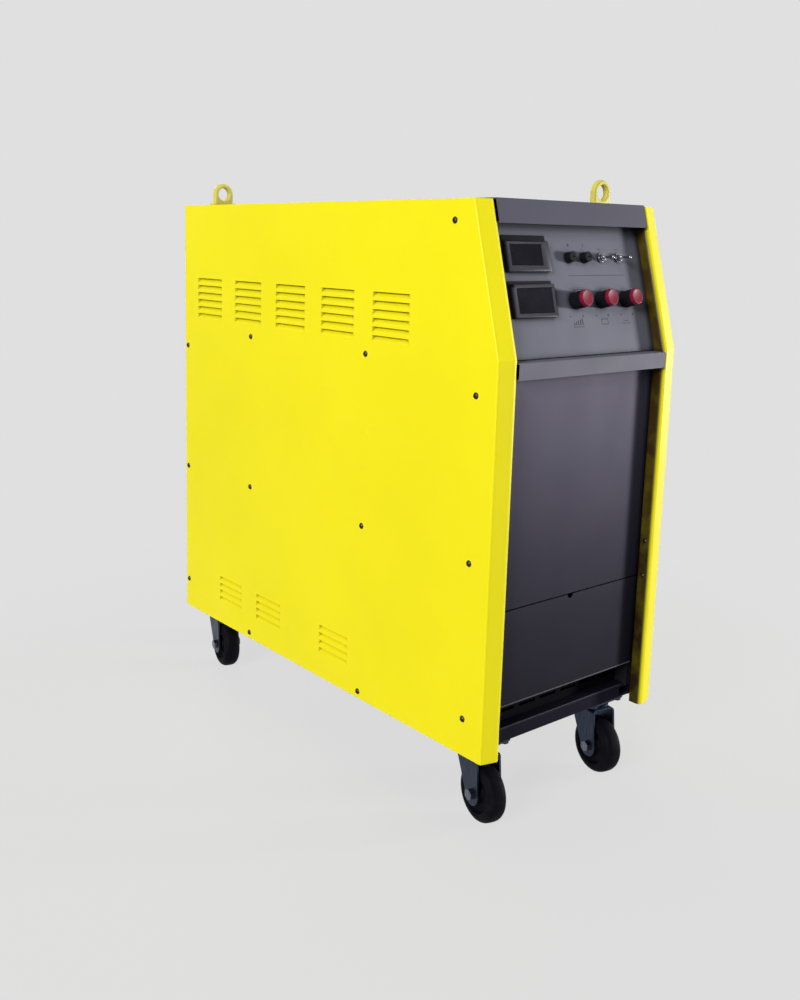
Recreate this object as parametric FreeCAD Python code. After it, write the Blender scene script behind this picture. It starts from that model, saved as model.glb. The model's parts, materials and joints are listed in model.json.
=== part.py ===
import FreeCAD, Part
import math
import os

V = FreeCAD.Vector
X, Y, Z = V(1, 0, 0), V(0, 1, 0), V(0, 0, 1)
os.makedirs("parts", exist_ok=True)

# The power source of a plasma cutter: a deep, narrow steel cabinet on four swivel casters.
# Millimetres. X runs to the right seen from the front, Y to the rear, Z up from the floor.
# The origin is on the floor under the middle of the whole part.

# Cabinet and side covers
CABINET_WIDTH = 427.0
CABINET_DEPTH = 919.0
COVER_HEIGHT = 867.5
CONSOLE_HEIGHT = 235.0
LEAN_BACK = 62.8
SHEET = 2.0
CORNER_RADIUS = 4.0
NOSE_RADIUS = 8.0
STRIP_WIDTH = 37.0
STRIP_SET_BACK = 9.0
LIP_DEPTH = 24.0
FOOT_FLANGE = 14.0
GLAND_REACH = 26.0
PANEL_GAP = 0.5
BORE_GAP = 0.05

# Frame of square tube
TUBE = 30.0
TUBE_WALL = 2.5
FRONT_POST_DEPTH = 52.0
MIDDLE_POST_DEPTH = 315.0
MIDDLE_POST_REAR_INSET = 252.0
UPPER_POST_DEPTH = 111.0
RAIL_BELOW_KNEE = 3.0
TOP_RAIL_DROP = 32.0
EYE_RAIL_DEPTH = 139.5
EYE_RAIL_REAR_INSET = 55.0

# Base
BASE_HEIGHT = 22.0
BASE_CHANNEL = 45.0
BASE_WALL = 4.0
BASE_FRONT_DEPTH = 42.0
FLOOR_PLATE = 3.0

# Front panels
FRONT_RECESS = 25.5
BAR_HEIGHT = 26.0
BAR_DROP = 4.0
LOWER_PANEL_FOOT = 74.0
LOWER_PANEL_TOP = 233.5
PANEL_JOINT = 2.0
PANEL_FLANGE = 17.0
NOTCH_RADIUS = 7.0
LOWER_FLANGE_RISE = 14.0
PANEL_SCREW_RISES = (3.0, 65.0)
PANEL_SCREW_DEPTH = 14.0
PANEL_SCREW_RADIUS = 2.0
PANEL_SCREW_HEAD = 4.2
PANEL_SCREW_REACH = 9.0
TRIM_HEIGHT = 37.0
TOP_RISE = 2.0
TOP_SKIRT = 20.0
CONSOLE_CHEEK_INSET = 19.5
CONSOLE_TOP_GAP = 13.0
INTAKE_DEPTH = 62.0
INTAKE_HEIGHT = 75.0
INTAKE_SLOT = (40.0, 5.0)
INTAKE_SLOT_MARGIN = 6.5
INTAKE_SLOT_RISE = 10.0
INTAKE_SLOT_COUNT = (7, 4)
INTAKE_SLOT_FOOT = 14.0

# Control panel layout: across from the middle, height above the knee
METER_INSET = 108.0
METER_HEIGHTS = (149.5, 80.5)
METER_SIZE = (96.0, 48.0)
METER_BODY = (91.0, 44.0, 60.0)
METER_BEZEL = 8.0
METER_WINDOWS = ((-3.5, 2.5, 70.0, 31.0), (2.0, 3.0, 78.0, 38.0))
WINDOW_SINK = 1.5
WINDOW_THICK = 2.0
LABEL_HEIGHT = 10.0
LABEL_THICK = 1.2
CONTROL_ROW = 149.0
KNOB_ROW = 82.0
FUSE_XS = (-7.0, 31.0)
TOGGLE_XS = (73.0, 117.0)
KNOB_XS = (-6.0, 57.0, 120.0)

# Controls
KNOB_RADIUS = 14.0
KNOB_BODY = 20.0
KNOB_CAP = 6.0
KNOB_STANDOFF = 1.0
KNOB_FLUTES = 18
KNOB_FLUTE_RADIUS = 1.3
KNOB_CAP_INSET = 0.8
SPINDLE_RADIUS = 3.0
SPINDLE_REACH = 16.0
POT_BUSH_RADIUS = 5.0
POT_NUT_ACROSS = 14.0
POT_NUT_THICK = 2.0
POT_RADIUS = 12.5
POT_DEPTH = 14.0
FUSE_BODY_RADIUS = 6.3
FUSE_BODY_DEPTH = 34.0
FUSE_COLLAR_RADIUS = 9.0
FUSE_COLLAR = 2.5
FUSE_CAP_RADIUS = 8.3
FUSE_CAP_LENGTH = 9.0
FUSE_STEM_RADIUS = 4.0
FUSE_STEM_LENGTH = 12.0
TOGGLE_BODY = (13.0, 26.0, 22.0)
TOGGLE_BUSH_RADIUS = 6.0
TOGGLE_BUSH_LENGTH = 8.0
TOGGLE_NUT_ACROSS = 15.0
TOGGLE_NUT_THICK = 2.5
TOGGLE_BALL_RADIUS = 3.4
TOGGLE_LEVER_LENGTH = 18.0
TOGGLE_NECK_RADIUS = 1.5
TOGGLE_TIP_RADIUS = 2.9
TOGGLE_TILT = 14.0

# Louvres: an even row of groups near the top, three groups near the foot set out from the rear
UPPER_LOUVRE_DEPTH = 206.0
UPPER_LOUVRE_REAR_INSET = 52.0
UPPER_LOUVRE_GROUPS = 5
UPPER_LOUVRE_DROP = 147.5
UPPER_LOUVRE_LENGTH = 93.0
UPPER_LOUVRE_ROWS = 6
LOWER_LOUVRE_REAR_INSETS = (488.0, 277.0, 139.0)
LOWER_LOUVRE_TOP = 101.0
LOWER_LOUVRE_LENGTH = 84.0
LOWER_LOUVRE_ROWS = 4
LOUVRE_PITCH = 14.4
LOUVRE_HEIGHT = 9.5
LOUVRE_DEEP = 7.0
LOUVRE_WALL = 1.5
LOUVRE_FRONT_TAPER = 12.0
LOUVRE_REAR_TAPER = 2.0

# Cover screws
SCREW_RADIUS = 3.0
SCREW_HOLE_GAP = 0.3
SCREW_HEAD_RADIUS = 5.5
SCREW_HEAD_HEIGHT = 3.2
SCREW_REACH = 12.0
SCREW_SOCKET_ACROSS = 4.0
SCREW_SOCKET_DEPTH = 1.8
FOOT_SCREW_RISE = 61.0
BASE_SCREW_RISE = 12.0
MIDDLE_SCREW_RISE = 316.0
POST_SCREW_DROP = 55.5
RAIL_SCREW_DROP = 17.5
REAR_SCREW_INSET = 10.0

# Casters
WHEEL_RADIUS = 50.0
WHEEL_WIDTH = 34.0
WHEEL_ROUND = 12.0
WHEEL_POCKET = (17.0, 33.0, 8.0)
HUB_WIDTH = 39.0
HUB_BOSS_RADIUS = 14.0
AXLE_RADIUS = 5.0
AXLE_HEAD_ACROSS = 17.0
AXLE_HEAD_THICK = 6.5
FORK_GAP = 40.0
FORK_WALL = 3.5
FORK_SHOULDER = 9.0
FORK_FOOT_RADIUS = 19.0
FORK_TOP_WIDTH = 66.0
WHEEL_CLEARANCE = 18.0
CROWN_RADIUS = 29.0
RACE_RADIUS = 22.0
RACE_HEIGHT = 12.0
RACE_LAND = 1.5
SWIVEL_GAP = 0.4
KING_PIN_RADIUS = 6.0
KING_NUT_ACROSS = 18.0
KING_NUT_THICK = 5.0
CASTER_PLATE = (84.0, 76.0, 4.0)
CASTER_PLATE_ROUND = 8.0
CASTER_BOLT_SPACING = (64.0, 58.0)
CASTER_BOLT_RADIUS = 4.0
CASTER_BOLT_ACROSS = 13.0
CASTER_BOLT_HEAD = 5.3
CASTER_BOLT_REACH = 12.0
CASTER_TRAIL = 22.0
CASTER_INSET_X = 67.5
CASTER_FRONT_INSET = 81.0
CASTER_REAR_INSET = 40.0
CASTER_HEADING = 12.0

# Lifting eyes
EYE_HOLE_RADIUS = 12.5
EYE_SECTION = 9.0
EYE_THICK = 12.0
EYE_ROUND = 4.0
EYE_FOOT = (50.0, 20.0, 3.0)
EYE_SHANK_RADIUS = 5.0
EYE_INSET_X = 58.0

# Rear panel
GLAND_RADIUS = 20.0
GLAND_BORE_RADIUS = 13.0
GLAND_THREAD_RADIUS = 16.0
GLAND_NUT_ACROSS = 40.0
GLAND_NUT_THICK = 7.0
GLAND_ROUND = 5.0
GLAND_X = 110.0
GLAND_HEIGHT = 95.0
REAR_SLOT = (90.0, 6.0)
REAR_SLOT_PITCH = (104.0, 14.0)
REAR_SLOT_COUNT = (3, 8)
REAR_SLOT_DROP = 227.5

# Power parts inside
CORE_LIMB = 70.0
CORE_WINDOW = (75.0, 190.0)
CORE_STACK = 110.0
CORE_DEPTH = 405.0
COIL_BORE_GAP = 0.3
COIL_BUILD = 34.0
COIL_END_GAP = 4.0
COIL_ROUND = 14.0
CLAMP = 40.0
CLAMP_WALL = 4.0
CLAMP_BOLT_RADIUS = 5.0
CHOKE_LIMB = 45.0
CHOKE_WINDOW = (50.0, 120.0)
CHOKE_STACK = 80.0
CHOKE_DEPTH = 150.0
CHOKE_COIL_BUILD = 21.0
FAN_RADIUS = 126.0
FAN_TIP_GAP = 4.0
FAN_DEPTH = 580.0
FAN_DUCT_HEIGHT = 60.0
FAN_HUB_RADIUS = 40.0
FAN_HUB_HEIGHT = 34.0
FAN_HUB_LIFT = 13.0
FAN_BLADES = 6
FAN_BLADE_PITCH = 32.0
FAN_BLADE_WIDTH = 48.0
FAN_BLADE_THICK = 3.0
MOTOR_RADIUS = 45.0
MOTOR_HEIGHT = 70.0
MOTOR_SHAFT_RADIUS = 6.0
MOTOR_SHAFT_REACH = 50.0
SHAFT_END_GAP = 6.0
SPIDER_WIDTH = 20.0
SPIDER_THICK = 4.0
SINK_SIZE = (240.0, 100.0, 120.0)
SINK_DEPTH = 745.0
SINK_FIN = 3.0
SINK_FINS = 21
SINK_BASE = 12.0
CONTACTOR_SIZE = (90.0, 80.0, 60.0)
CONTACTOR_TOP = (66.0, 56.0, 34.0)
CONTACTOR_PLACE = (85.0, 290.0)
BOARD_SIZE = (240.0, 110.0, 1.6)
BOARD_DEPTH = 165.0
BOARD_PILLAR = 15.0
BOARD_PILLAR_RADIUS = 3.5
BOARD_PILLAR_INSET = 8.0
BOARD_RELAY = (20.0, 28.0, 18.0)
BOARD_RELAY_PITCH = 34.0
BOARD_RELAYS = 5
OUTPUT_BOARD = (270.0, 12.0, 170.0)
OUTPUT_BOARD_DEPTH = 80.0
STUD_XS = (-85.0, 0.0, 85.0)
STUD_HEIGHT = 125.0
STUD_RADIUS = 6.0
STUD_LENGTH = 26.0
STUD_NUT_ACROSS = 19.0
STUD_NUT_THICK = 6.0

# Places worked out from the sizes
HALF = CABINET_WIDTH / 2
FRONT = -(CABINET_DEPTH + GLAND_REACH) / 2
REAR = FRONT + CABINET_DEPTH
CROWN_Z = 2 * WHEEL_RADIUS + WHEEL_CLEARANCE
CROWN_TOP = CROWN_Z + FORK_WALL
PLATE_Z = CROWN_TOP + RACE_HEIGHT
BASE_Z = PLATE_Z + CASTER_PLATE[2]
FOOT = BASE_Z - SHEET
TOP = FOOT + COVER_HEIGHT
KNEE = TOP - CONSOLE_HEIGHT
BASE_TOP = BASE_Z + BASE_HEIGHT
FLOOR_TOP = BASE_TOP + FLOOR_PLATE
INSIDE = HALF - SHEET
TUBE_IN = INSIDE - TUBE
LIP_X = HALF - STRIP_WIDTH
LIP_BACK_X = LIP_X + SHEET
RAIL_TOP = KNEE - RAIL_BELOW_KNEE
RAIL_Z = RAIL_TOP - TUBE
SHELF_TOP = RAIL_TOP + SHEET
TOP_RAIL_Z = TOP - TOP_RAIL_DROP - TUBE / 2
SURFACE = TOP + TOP_RISE
FRONT_POST_Y = FRONT + FRONT_POST_DEPTH
UPPER_POST_Y = FRONT + UPPER_POST_DEPTH
MIDDLE_POST_YS = (FRONT + MIDDLE_POST_DEPTH, REAR - MIDDLE_POST_REAR_INSET)
EYE_RAIL_YS = (FRONT + EYE_RAIL_DEPTH, REAR - EYE_RAIL_REAR_INSET)
REAR_POST_Y = REAR - SHEET - TUBE / 2
BASE_FRONT = FRONT + BASE_FRONT_DEPTH
BASE_REAR = REAR - SHEET
BAR_TOP = KNEE - BAR_DROP
BAR_FOOT = BAR_TOP - BAR_HEIGHT
SLOPE = LEAN_BACK / CONSOLE_HEIGHT
LEAN = math.atan(SLOPE)
OUTWARD = V(0, -math.cos(LEAN), math.sin(LEAN))
UPWARD = V(0, math.sin(LEAN), math.cos(LEAN))
CORE_LENGTH = 3 * CORE_LIMB + 2 * CORE_WINDOW[0]
CORE_HEIGHT = CORE_WINDOW[1] + 2 * CORE_LIMB
FAN_Y = FRONT + FAN_DEPTH
METER_X = METER_INSET - HALF
DUCT_TOP = SHELF_TOP + FAN_DUCT_HEIGHT
EYE_RING_RADIUS = EYE_HOLE_RADIUS + EYE_SECTION


def box(x0, x1, y0, y1, z0, z1):
    return Part.makeBox(x1 - x0, y1 - y0, z1 - z0, V(x0, y0, z0))


def rod(start, direction, radius, length):
    return Part.makeCylinder(radius, length, start, direction)


def prism(points, direction):
    wire = Part.makePolygon(list(points) + [points[0]])
    return Part.Face(wire).extrude(direction)


def hexagon(start, direction, across, length):
    """A hexagonal prism that starts at a point and runs along a direction."""
    radius = across / math.sqrt(3)
    corners = [V(radius * math.cos(a), radius * math.sin(a), 0)
               for a in [math.radians(60 * i) for i in range(6)]]
    nut = prism(corners, V(0, 0, length))
    nut.Placement = FreeCAD.Placement(start, FreeCAD.Rotation(Z, direction))
    return nut


def mirrored(shape):
    return shape.mirror(V(0, 0, 0), X)


def both_sides(*shapes):
    """Each shape with its mirror image on the other side of the cabinet."""
    return [s for shape in shapes for s in (shape, mirrored(shape))]


def round_rims(shape, radius, amount):
    """Round every full circular edge of one radius."""
    rims = [e for e in shape.Edges
            if isinstance(e.Curve, Part.Circle) and abs(e.Curve.Radius - radius) < 1e-4]
    return shape.makeFillet(amount, rims)


def round_end(shape, direction, amount):
    """Round the circular edge that lies furthest along a direction."""
    rims = [e for e in shape.Edges if isinstance(e.Curve, Part.Circle)]
    return shape.makeFillet(amount, [max(rims, key=lambda e: e.CenterOfMass.dot(direction))])


def edges_along(shape, direction):
    """The straight edges of a shape that run parallel to a direction."""
    found = []
    for edge in shape.Edges:
        if isinstance(edge.Curve, (Part.Line, Part.LineSegment)):
            span = edge.Vertexes[-1].Point.sub(edge.Vertexes[0].Point)
            if span.Length > 1e-6 and span.normalize().cross(direction).Length < 1e-4:
                found.append(edge)
    return found


def write(name, solids):
    """Write a node: one solid, or a group of separate solids."""
    if not isinstance(solids, list):
        solids = [solids]
    pieces = []
    for solid in solids:
        pieces += solid.removeSplitter().Solids
    shape = pieces[0] if len(pieces) == 1 else Part.makeCompound(pieces)
    shape.exportStep("parts/" + name + ".step")
    span = shape.BoundBox
    good = all(piece.isValid() for piece in pieces)
    print("%-24s %2d of %2d, %8.1f cm3, x %6.1f %6.1f y %6.1f %6.1f z %6.1f %6.1f%s" % (
        name, len(pieces), len(solids), shape.Volume / 1000, span.XMin, span.XMax, span.YMin,
        span.YMax, span.ZMin, span.ZMax, "" if good else " INVALID"))


def set_back(z):
    """How far the front outline lies behind the cabinet's front at a height."""
    return max(0.0, (z - KNEE) * SLOPE)


def on_panel(x, height, out=0.0):
    """A point on the control panel's face, moved out along its normal."""
    z = KNEE + height
    return V(x, FRONT + FRONT_RECESS + set_back(z), z).add(OUTWARD * out)


def panel_box(x, height, wide, high, near, far):
    """A block in line with the leaning panel, from near to far along its normal."""
    block = box(-wide / 2, wide / 2, -far, -near, -high / 2, high / 2)
    turn = FreeCAD.Rotation(X, -math.degrees(LEAN))
    block.Placement = FreeCAD.Placement(on_panel(x, height), turn).multiply(block.Placement)
    return block


def panel_rod(x, height, radius, near, far):
    return rod(on_panel(x, height, near), OUTWARD, radius, far - near)


def screw_places():
    """Where the left cover is screwed to the frame, as Y and Z."""
    middle = FOOT + MIDDLE_SCREW_RISE
    post_heights = (FOOT + FOOT_SCREW_RISE, middle, KNEE - POST_SCREW_DROP)
    rail_heights = (FOOT + BASE_SCREW_RISE, middle, KNEE - RAIL_SCREW_DROP)
    places = [(y, z) for y in (FRONT_POST_Y, REAR - REAR_SCREW_INSET) for z in post_heights]
    places += [(y, z) for y in MIDDLE_POST_YS for z in rail_heights]
    return places + [(UPPER_POST_Y, TOP - TOP_RAIL_DROP)]


def screw_cutters(radius):
    reach = SHEET + SCREW_REACH + 1
    return [rod(V(-HALF - 1, y, z), X, radius, reach) for y, z in screw_places()]


def bent(points, radii):
    """Edges along a line of points, with an arc at each inner point that has a radius."""
    edges, start = [], points[0]
    for before, corner, after, radius in zip(points, points[1:], points[2:], radii):
        come = corner.sub(before).normalize()
        go = after.sub(corner).normalize()
        turn = come.getAngle(go)
        reach = radius * math.tan(turn / 2)
        near, far = corner.sub(come * reach), corner.add(go * reach)
        edges.append(Part.makeLine(start, near))
        if radius:
            inward = go.sub(come).normalize() * (radius / math.cos(turn / 2) - radius)
            edges.append(Part.Arc(near, corner.add(inward), far).toShape())
        start = far
    return edges + [Part.makeLine(start, points[-1])]


def bent_sheet(outer, inner, radii, wall):
    """The section of a folded sheet between its outer and inner lines, with its outer bend radii."""
    edges = bent(outer, radii) + [Part.makeLine(outer[-1], inner[-1])]
    edges += bent(inner[::-1], [radius - wall for radius in radii[::-1]])
    edges.append(Part.makeLine(inner[0], outer[0]))
    return Part.Face(Part.Wire(edges))


def front_band():
    """The bent front of the left cover: side, corner, slanting strip, round nose and inner lip."""
    wall, wide, back, slant = SHEET, STRIP_WIDTH, LIP_DEPTH, STRIP_SET_BACK
    side = back + NOSE_RADIUS
    run = wall * math.hypot(wide, slant) / wide

    def p(across, deep):
        return V(-HALF + across, FRONT + deep, FOOT)

    def inside(across):
        return p(across, slant * (1 - across / wide) + run)

    outer = [p(0, side), p(0, slant), p(wide, 0), p(wide, back)]
    inner = [p(wall, side), inside(wall), inside(wide - wall), p(wide - wall, back)]
    section = bent_sheet(outer, inner, [CORNER_RADIUS, NOSE_RADIUS], wall)
    lower = section.extrude(V(0, 0, KNEE - FOOT))
    section.translate(V(0, 0, KNEE - FOOT))
    upper = section.extrude(V(0, LEAN_BACK, TOP - KNEE))
    return lower.fuse(upper)


def cover_flange(z, shift, rise, wide, nose):
    """A flat flange of the left cover, whose front edge follows the corner and the strip."""
    rear = CABINET_DEPTH - shift
    front = STRIP_SET_BACK * (1 - wide / STRIP_WIDTH)

    def p(across, deep):
        return V(-HALF + across, FRONT + shift + deep, z)

    outline = [p(0, rear), p(0, STRIP_SET_BACK), p(wide, front), p(wide, rear)]
    edges = bent(outline, [CORNER_RADIUS, nose]) + [Part.makeLine(outline[-1], outline[0])]
    return Part.Face(Part.Wire(edges)).extrude(rise)


def hood(y0, length, top, foot, deep):
    """A louvre pressed into the cover: flush at its foot, deepest along its top edge."""
    a = V(-HALF, y0, top)
    b = V(-HALF, y0 + length, top)
    c = V(-HALF, y0 + length, foot)
    d = V(-HALF, y0, foot)
    e = V(-HALF + deep, y0 + LOUVRE_FRONT_TAPER, top)
    f = V(-HALF + deep, y0 + length - LOUVRE_REAR_TAPER, top)
    loops = ([a, b, c, d], [a, e, f, b], [a, d, e], [b, f, c], [d, c, f, e])
    faces = [Part.Face(Part.makePolygon(loop + [loop[0]])) for loop in loops]
    return Part.makeSolid(Part.makeShell(faces))


def louvre_places():
    """Front end, length and top edge of every louvre on the left cover."""
    first = FRONT + UPPER_LOUVRE_DEPTH
    last = REAR - UPPER_LOUVRE_REAR_INSET - UPPER_LOUVRE_LENGTH
    step = (last - first) / (UPPER_LOUVRE_GROUPS - 1)
    places = [(first + g * step, UPPER_LOUVRE_LENGTH, TOP - UPPER_LOUVRE_DROP - i * LOUVRE_PITCH)
              for g in range(UPPER_LOUVRE_GROUPS) for i in range(UPPER_LOUVRE_ROWS)]
    length = LOWER_LOUVRE_LENGTH
    places += [(REAR - inset - length, length, FOOT + LOWER_LOUVRE_TOP - i * LOUVRE_PITCH)
               for inset in LOWER_LOUVRE_REAR_INSETS for i in range(LOWER_LOUVRE_ROWS)]
    return places


def louvres():
    """Hoods to add inside the left cover, then the hollows to cut, open inwards at the top."""
    hoods, hollows = [], []
    wall = LOUVRE_WALL
    for y0, length, top in louvre_places():
        foot = top - LOUVRE_HEIGHT
        hoods.append(hood(y0 - wall, length + 2 * wall, top, foot - wall, LOUVRE_DEEP + wall))
        hollows.append(hood(y0, length, top, foot, LOUVRE_DEEP))
    return hoods, hollows


def left_cover():
    """One folded sheet: the side, the strip and lip at its front, and flanges top and bottom."""
    start = FRONT + LIP_DEPTH + NOSE_RADIUS
    outline = [V(-HALF, start, FOOT), V(-HALF, start, KNEE), V(-HALF, start + LEAN_BACK, TOP),
               V(-HALF, REAR, TOP), V(-HALF, REAR, FOOT)]
    side = prism(outline, V(SHEET, 0, 0))
    lean = SHEET * SLOPE
    behind = box(-HALF - 1, HALF, REAR, REAR + LEAN_BACK, FOOT, TOP + 1)
    rise = V(0, lean, SHEET)
    head = cover_flange(TOP - SHEET, LEAN_BACK - lean, rise, STRIP_WIDTH, NOSE_RADIUS).cut(behind)
    foot = cover_flange(FOOT, 0.0, V(0, 0, SHEET), FOOT_FLANGE, 0.0)
    hoods, hollows = louvres()
    cover = side.fuse([front_band(), head, foot]).removeSplitter().fuse(hoods)
    return cover.cut(hollows + screw_cutters(SCREW_RADIUS + SCREW_HOLE_GAP))


def domed_screw(place, direction, radius, head_radius, reach):
    """A domed socket screw: the head stands out along a direction, the shank goes in."""
    share = head_radius / SCREW_HEAD_RADIUS
    height = SCREW_HEAD_HEIGHT * share
    shank = rod(place, direction * -1, radius, reach)
    dome_radius = (head_radius ** 2 + height ** 2) / (2 * height)
    dome = Part.makeSphere(dome_radius, place.add(direction * (height - dome_radius)))
    head = dome.common(rod(place, direction, head_radius, height))
    deep = SCREW_SOCKET_DEPTH * share
    socket = hexagon(place.add(direction * (height - deep)), direction,
                     SCREW_SOCKET_ACROSS * share, 2 * deep)
    return head.fuse(shank).cut(socket)


def cover_screws():
    screws = [domed_screw(V(-HALF, y, z), X * -1, SCREW_RADIUS, SCREW_HEAD_RADIUS, SHEET + SCREW_REACH)
              for y, z in screw_places()]
    return both_sides(*screws)


def tube_y(x0, y0, y1, z0):
    w = TUBE_WALL
    outer = box(x0, x0 + TUBE, y0, y1, z0, z0 + TUBE)
    return outer.cut(box(x0 + w, x0 + TUBE - w, y0 - 1, y1 + 1, z0 + w, z0 + TUBE - w))


def tube_x(y0, z0):
    """A square tube between the two sides of the frame."""
    w = TUBE_WALL
    x = TUBE_IN
    outer = box(-x, x, y0, y0 + TUBE, z0, z0 + TUBE)
    return outer.cut(box(-x - 1, x + 1, y0 + w, y0 + TUBE - w, z0 + w, z0 + TUBE - w))


def tube_z(y_middle, z0, z1):
    w = TUBE_WALL
    x0 = -INSIDE
    y0 = y_middle - TUBE / 2
    outer = box(x0, x0 + TUBE, y0, y0 + TUBE, z0, z1)
    return outer.cut(box(x0 + w, x0 + TUBE - w, y0 + w, y0 + TUBE - w, z0 - 1, z1 + 1))


def drilled(member):
    return member.cut(screw_cutters(SCREW_RADIUS))


def frame_posts():
    """Front and middle posts up to the side rails, upper front posts and full rear posts."""
    posts = [tube_z(FRONT_POST_Y, BASE_TOP, RAIL_Z), tube_z(REAR_POST_Y, BASE_TOP, TOP_RAIL_Z)]
    posts += [tube_z(y, BASE_TOP, RAIL_Z) for y in MIDDLE_POST_YS]
    posts.append(tube_z(UPPER_POST_Y, RAIL_TOP, TOP_RAIL_Z))
    return both_sides(*[drilled(post) for post in posts])


def frame_rails():
    """Side rails under the shelf and the top, a cross rail behind the bar and the lifting rails.

    The lifting rails are notched at their ends, under the flanges of the covers.
    """
    left = -INSIDE
    rear = REAR_POST_Y - TUBE / 2
    side = drilled(tube_y(left, FRONT_POST_Y - TUBE / 2, rear, RAIL_Z))
    top = drilled(tube_y(left, UPPER_POST_Y - TUBE / 2, rear + TUBE, TOP_RAIL_Z))
    knee = tube_x(FRONT_POST_Y - TUBE / 2, RAIL_Z)
    holes = [rod(V(x, y, TOP_RAIL_Z), Z, EYE_SHANK_RADIUS, 2 * TUBE) for x, y in eye_places()]
    notches = both_sides(box(LIP_X - PANEL_GAP, HALF, FRONT, REAR, TOP - TUBE_WALL - PANEL_GAP, TOP + 1))
    lifting = [tube_x(y - TUBE / 2, SURFACE - SHEET - TUBE).cut(holes + notches) for y in EYE_RAIL_YS]
    return both_sides(side, top) + [knee] + lifting


def eye_places():
    """Two eyes at opposite corners: front right and rear left."""
    across = HALF - EYE_INSET_X
    return [(across, EYE_RAIL_YS[0]), (-across, EYE_RAIL_YS[1])]


def lifting_eye(x, y):
    """A forged eye: a round top over straight sides, a small foot and a stud into the rail."""
    centre = SURFACE + EYE_RING_RADIUS
    y0, y1 = y - EYE_THICK / 2, y + EYE_THICK / 2
    lug = box(x - EYE_RING_RADIUS, x + EYE_RING_RADIUS, y0, y1, SURFACE, centre)
    lug = lug.fuse(rod(V(x, y0, centre), Y, EYE_RING_RADIUS, EYE_THICK)).removeSplitter()
    outline = [e for e in lug.Edges
               if e.BoundBox.YLength < 1e-4 and e.CenterOfMass.z > SURFACE + 1e-3]
    lug = lug.makeFillet(EYE_ROUND, outline)
    lug = lug.cut(rod(V(x, y0 - 1, centre), Y, EYE_HOLE_RADIUS, EYE_THICK + 2))
    lug = round_rims(lug, EYE_HOLE_RADIUS, EYE_ROUND)
    wide, deep, high = EYE_FOOT
    foot = box(x - wide / 2, x + wide / 2, y - deep / 2, y + deep / 2, SURFACE, SURFACE + high)
    under = SURFACE - SHEET - TUBE
    return lug.fuse([foot, rod(V(x, y, under), Z, EYE_SHANK_RADIUS, SURFACE - under + 1)])


def top_cover():
    """The grey top between the side covers, folded down at the front as far as the control panel."""
    x = LIP_X - PANEL_GAP
    under = SURFACE - SHEET
    foot = SURFACE - TRIM_HEIGHT
    run = SHEET / math.cos(LEAN)

    def p(z, deep):
        return V(-x, FRONT + set_back(z) + deep, z)

    outline = [p(SURFACE, 0), V(-x, REAR, SURFACE), V(-x, REAR, under), p(under, run),
               p(foot + SHEET, run), p(foot + SHEET, FRONT_RECESS), p(foot, FRONT_RECESS), p(foot, 0)]
    cover = prism(outline, V(2 * x, 0, 0))
    front = UPPER_POST_Y - TUBE / 2
    rear = REAR_POST_Y + TUBE / 2 - PANEL_GAP
    skirt = box(-x, -x + SHEET, front, rear, SURFACE - TOP_SKIRT, under)
    reach = TUBE / 2 + PANEL_GAP
    for y in EYE_RAIL_YS:
        skirt = skirt.cut(box(-x - 1, -x + SHEET + 1, y - reach, y + reach, SURFACE - 2 * TOP_SKIRT, under))
    cover = cover.fuse(both_sides(skirt))
    holes = [rod(V(ex, ey, under - 1), Z, EYE_SHANK_RADIUS, SHEET + 2) for ex, ey in eye_places()]
    return cover.cut(holes)


def caster_pivots():
    """Name, pivot and trailing direction of each caster, as the cabinet was last pushed."""
    x = HALF - CASTER_INSET_X
    front = FRONT + CASTER_FRONT_INSET
    rear = REAR - CASTER_REAR_INSET
    turn = math.radians(CASTER_HEADING)
    trail = V(-math.sin(turn), -math.cos(turn), 0)
    return [("front_left", -x, front, trail), ("front_right", x, front, trail),
            ("rear_left", -x, rear, trail), ("rear_right", x, rear, trail)]


def bolt_places(x, y):
    across, along = CASTER_BOLT_SPACING
    return [(x + sx * across / 2, y + sy * along / 2) for sx in (-1, 1) for sy in (-1, 1)]


def channel(x0, x1, y0, y1, along_x):
    """A hollow base member with open ends along one axis, drilled for the casters."""
    w = BASE_WALL
    z0, z1 = BASE_Z, BASE_TOP
    if along_x:
        hollow = box(x0 - 1, x1 + 1, y0 + w, y1 - w, z0 + w, z1 - w)
    else:
        hollow = box(x0 + w, x1 - w, y0 - 1, y1 + 1, z0 + w, z1 - w)
    cutters = [rod(V(bx, by, z0 - 1), Z, CASTER_BOLT_RADIUS, w + 2)
               for name, x, y, trail in caster_pivots() for bx, by in bolt_places(x, y)]
    return box(x0, x1, y0, y1, z0, z1).cut([hollow] + cutters)


def base_channels():
    """Side channels, cross channels, beams under the core and short members beside the casters."""
    inner = INSIDE - BASE_CHANNEL
    front_end = BASE_FRONT + BASE_CHANNEL
    rear_start = BASE_REAR - BASE_CHANNEL
    side = drilled(channel(-INSIDE, -inner, BASE_FRONT, BASE_REAR, False))
    members = [channel(-inner, inner, BASE_FRONT, front_end, True),
               channel(-inner, inner, rear_start, BASE_REAR, True)]
    for shift in (0, CORE_LENGTH - BASE_CHANNEL):
        start = FRONT + CORE_DEPTH + shift
        members.append(channel(-inner, inner, start, start + BASE_CHANNEL, True))
    near = HALF - CASTER_INSET_X - CASTER_PLATE[0] / 2
    half = CASTER_PLATE[1] / 2
    shorts = both_sides(channel(-inner, -near, front_end, FRONT + CASTER_FRONT_INSET + half, False),
                        channel(-inner, -near, REAR - CASTER_REAR_INSET - half, rear_start, False))
    return both_sides(side) + members + shorts


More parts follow.
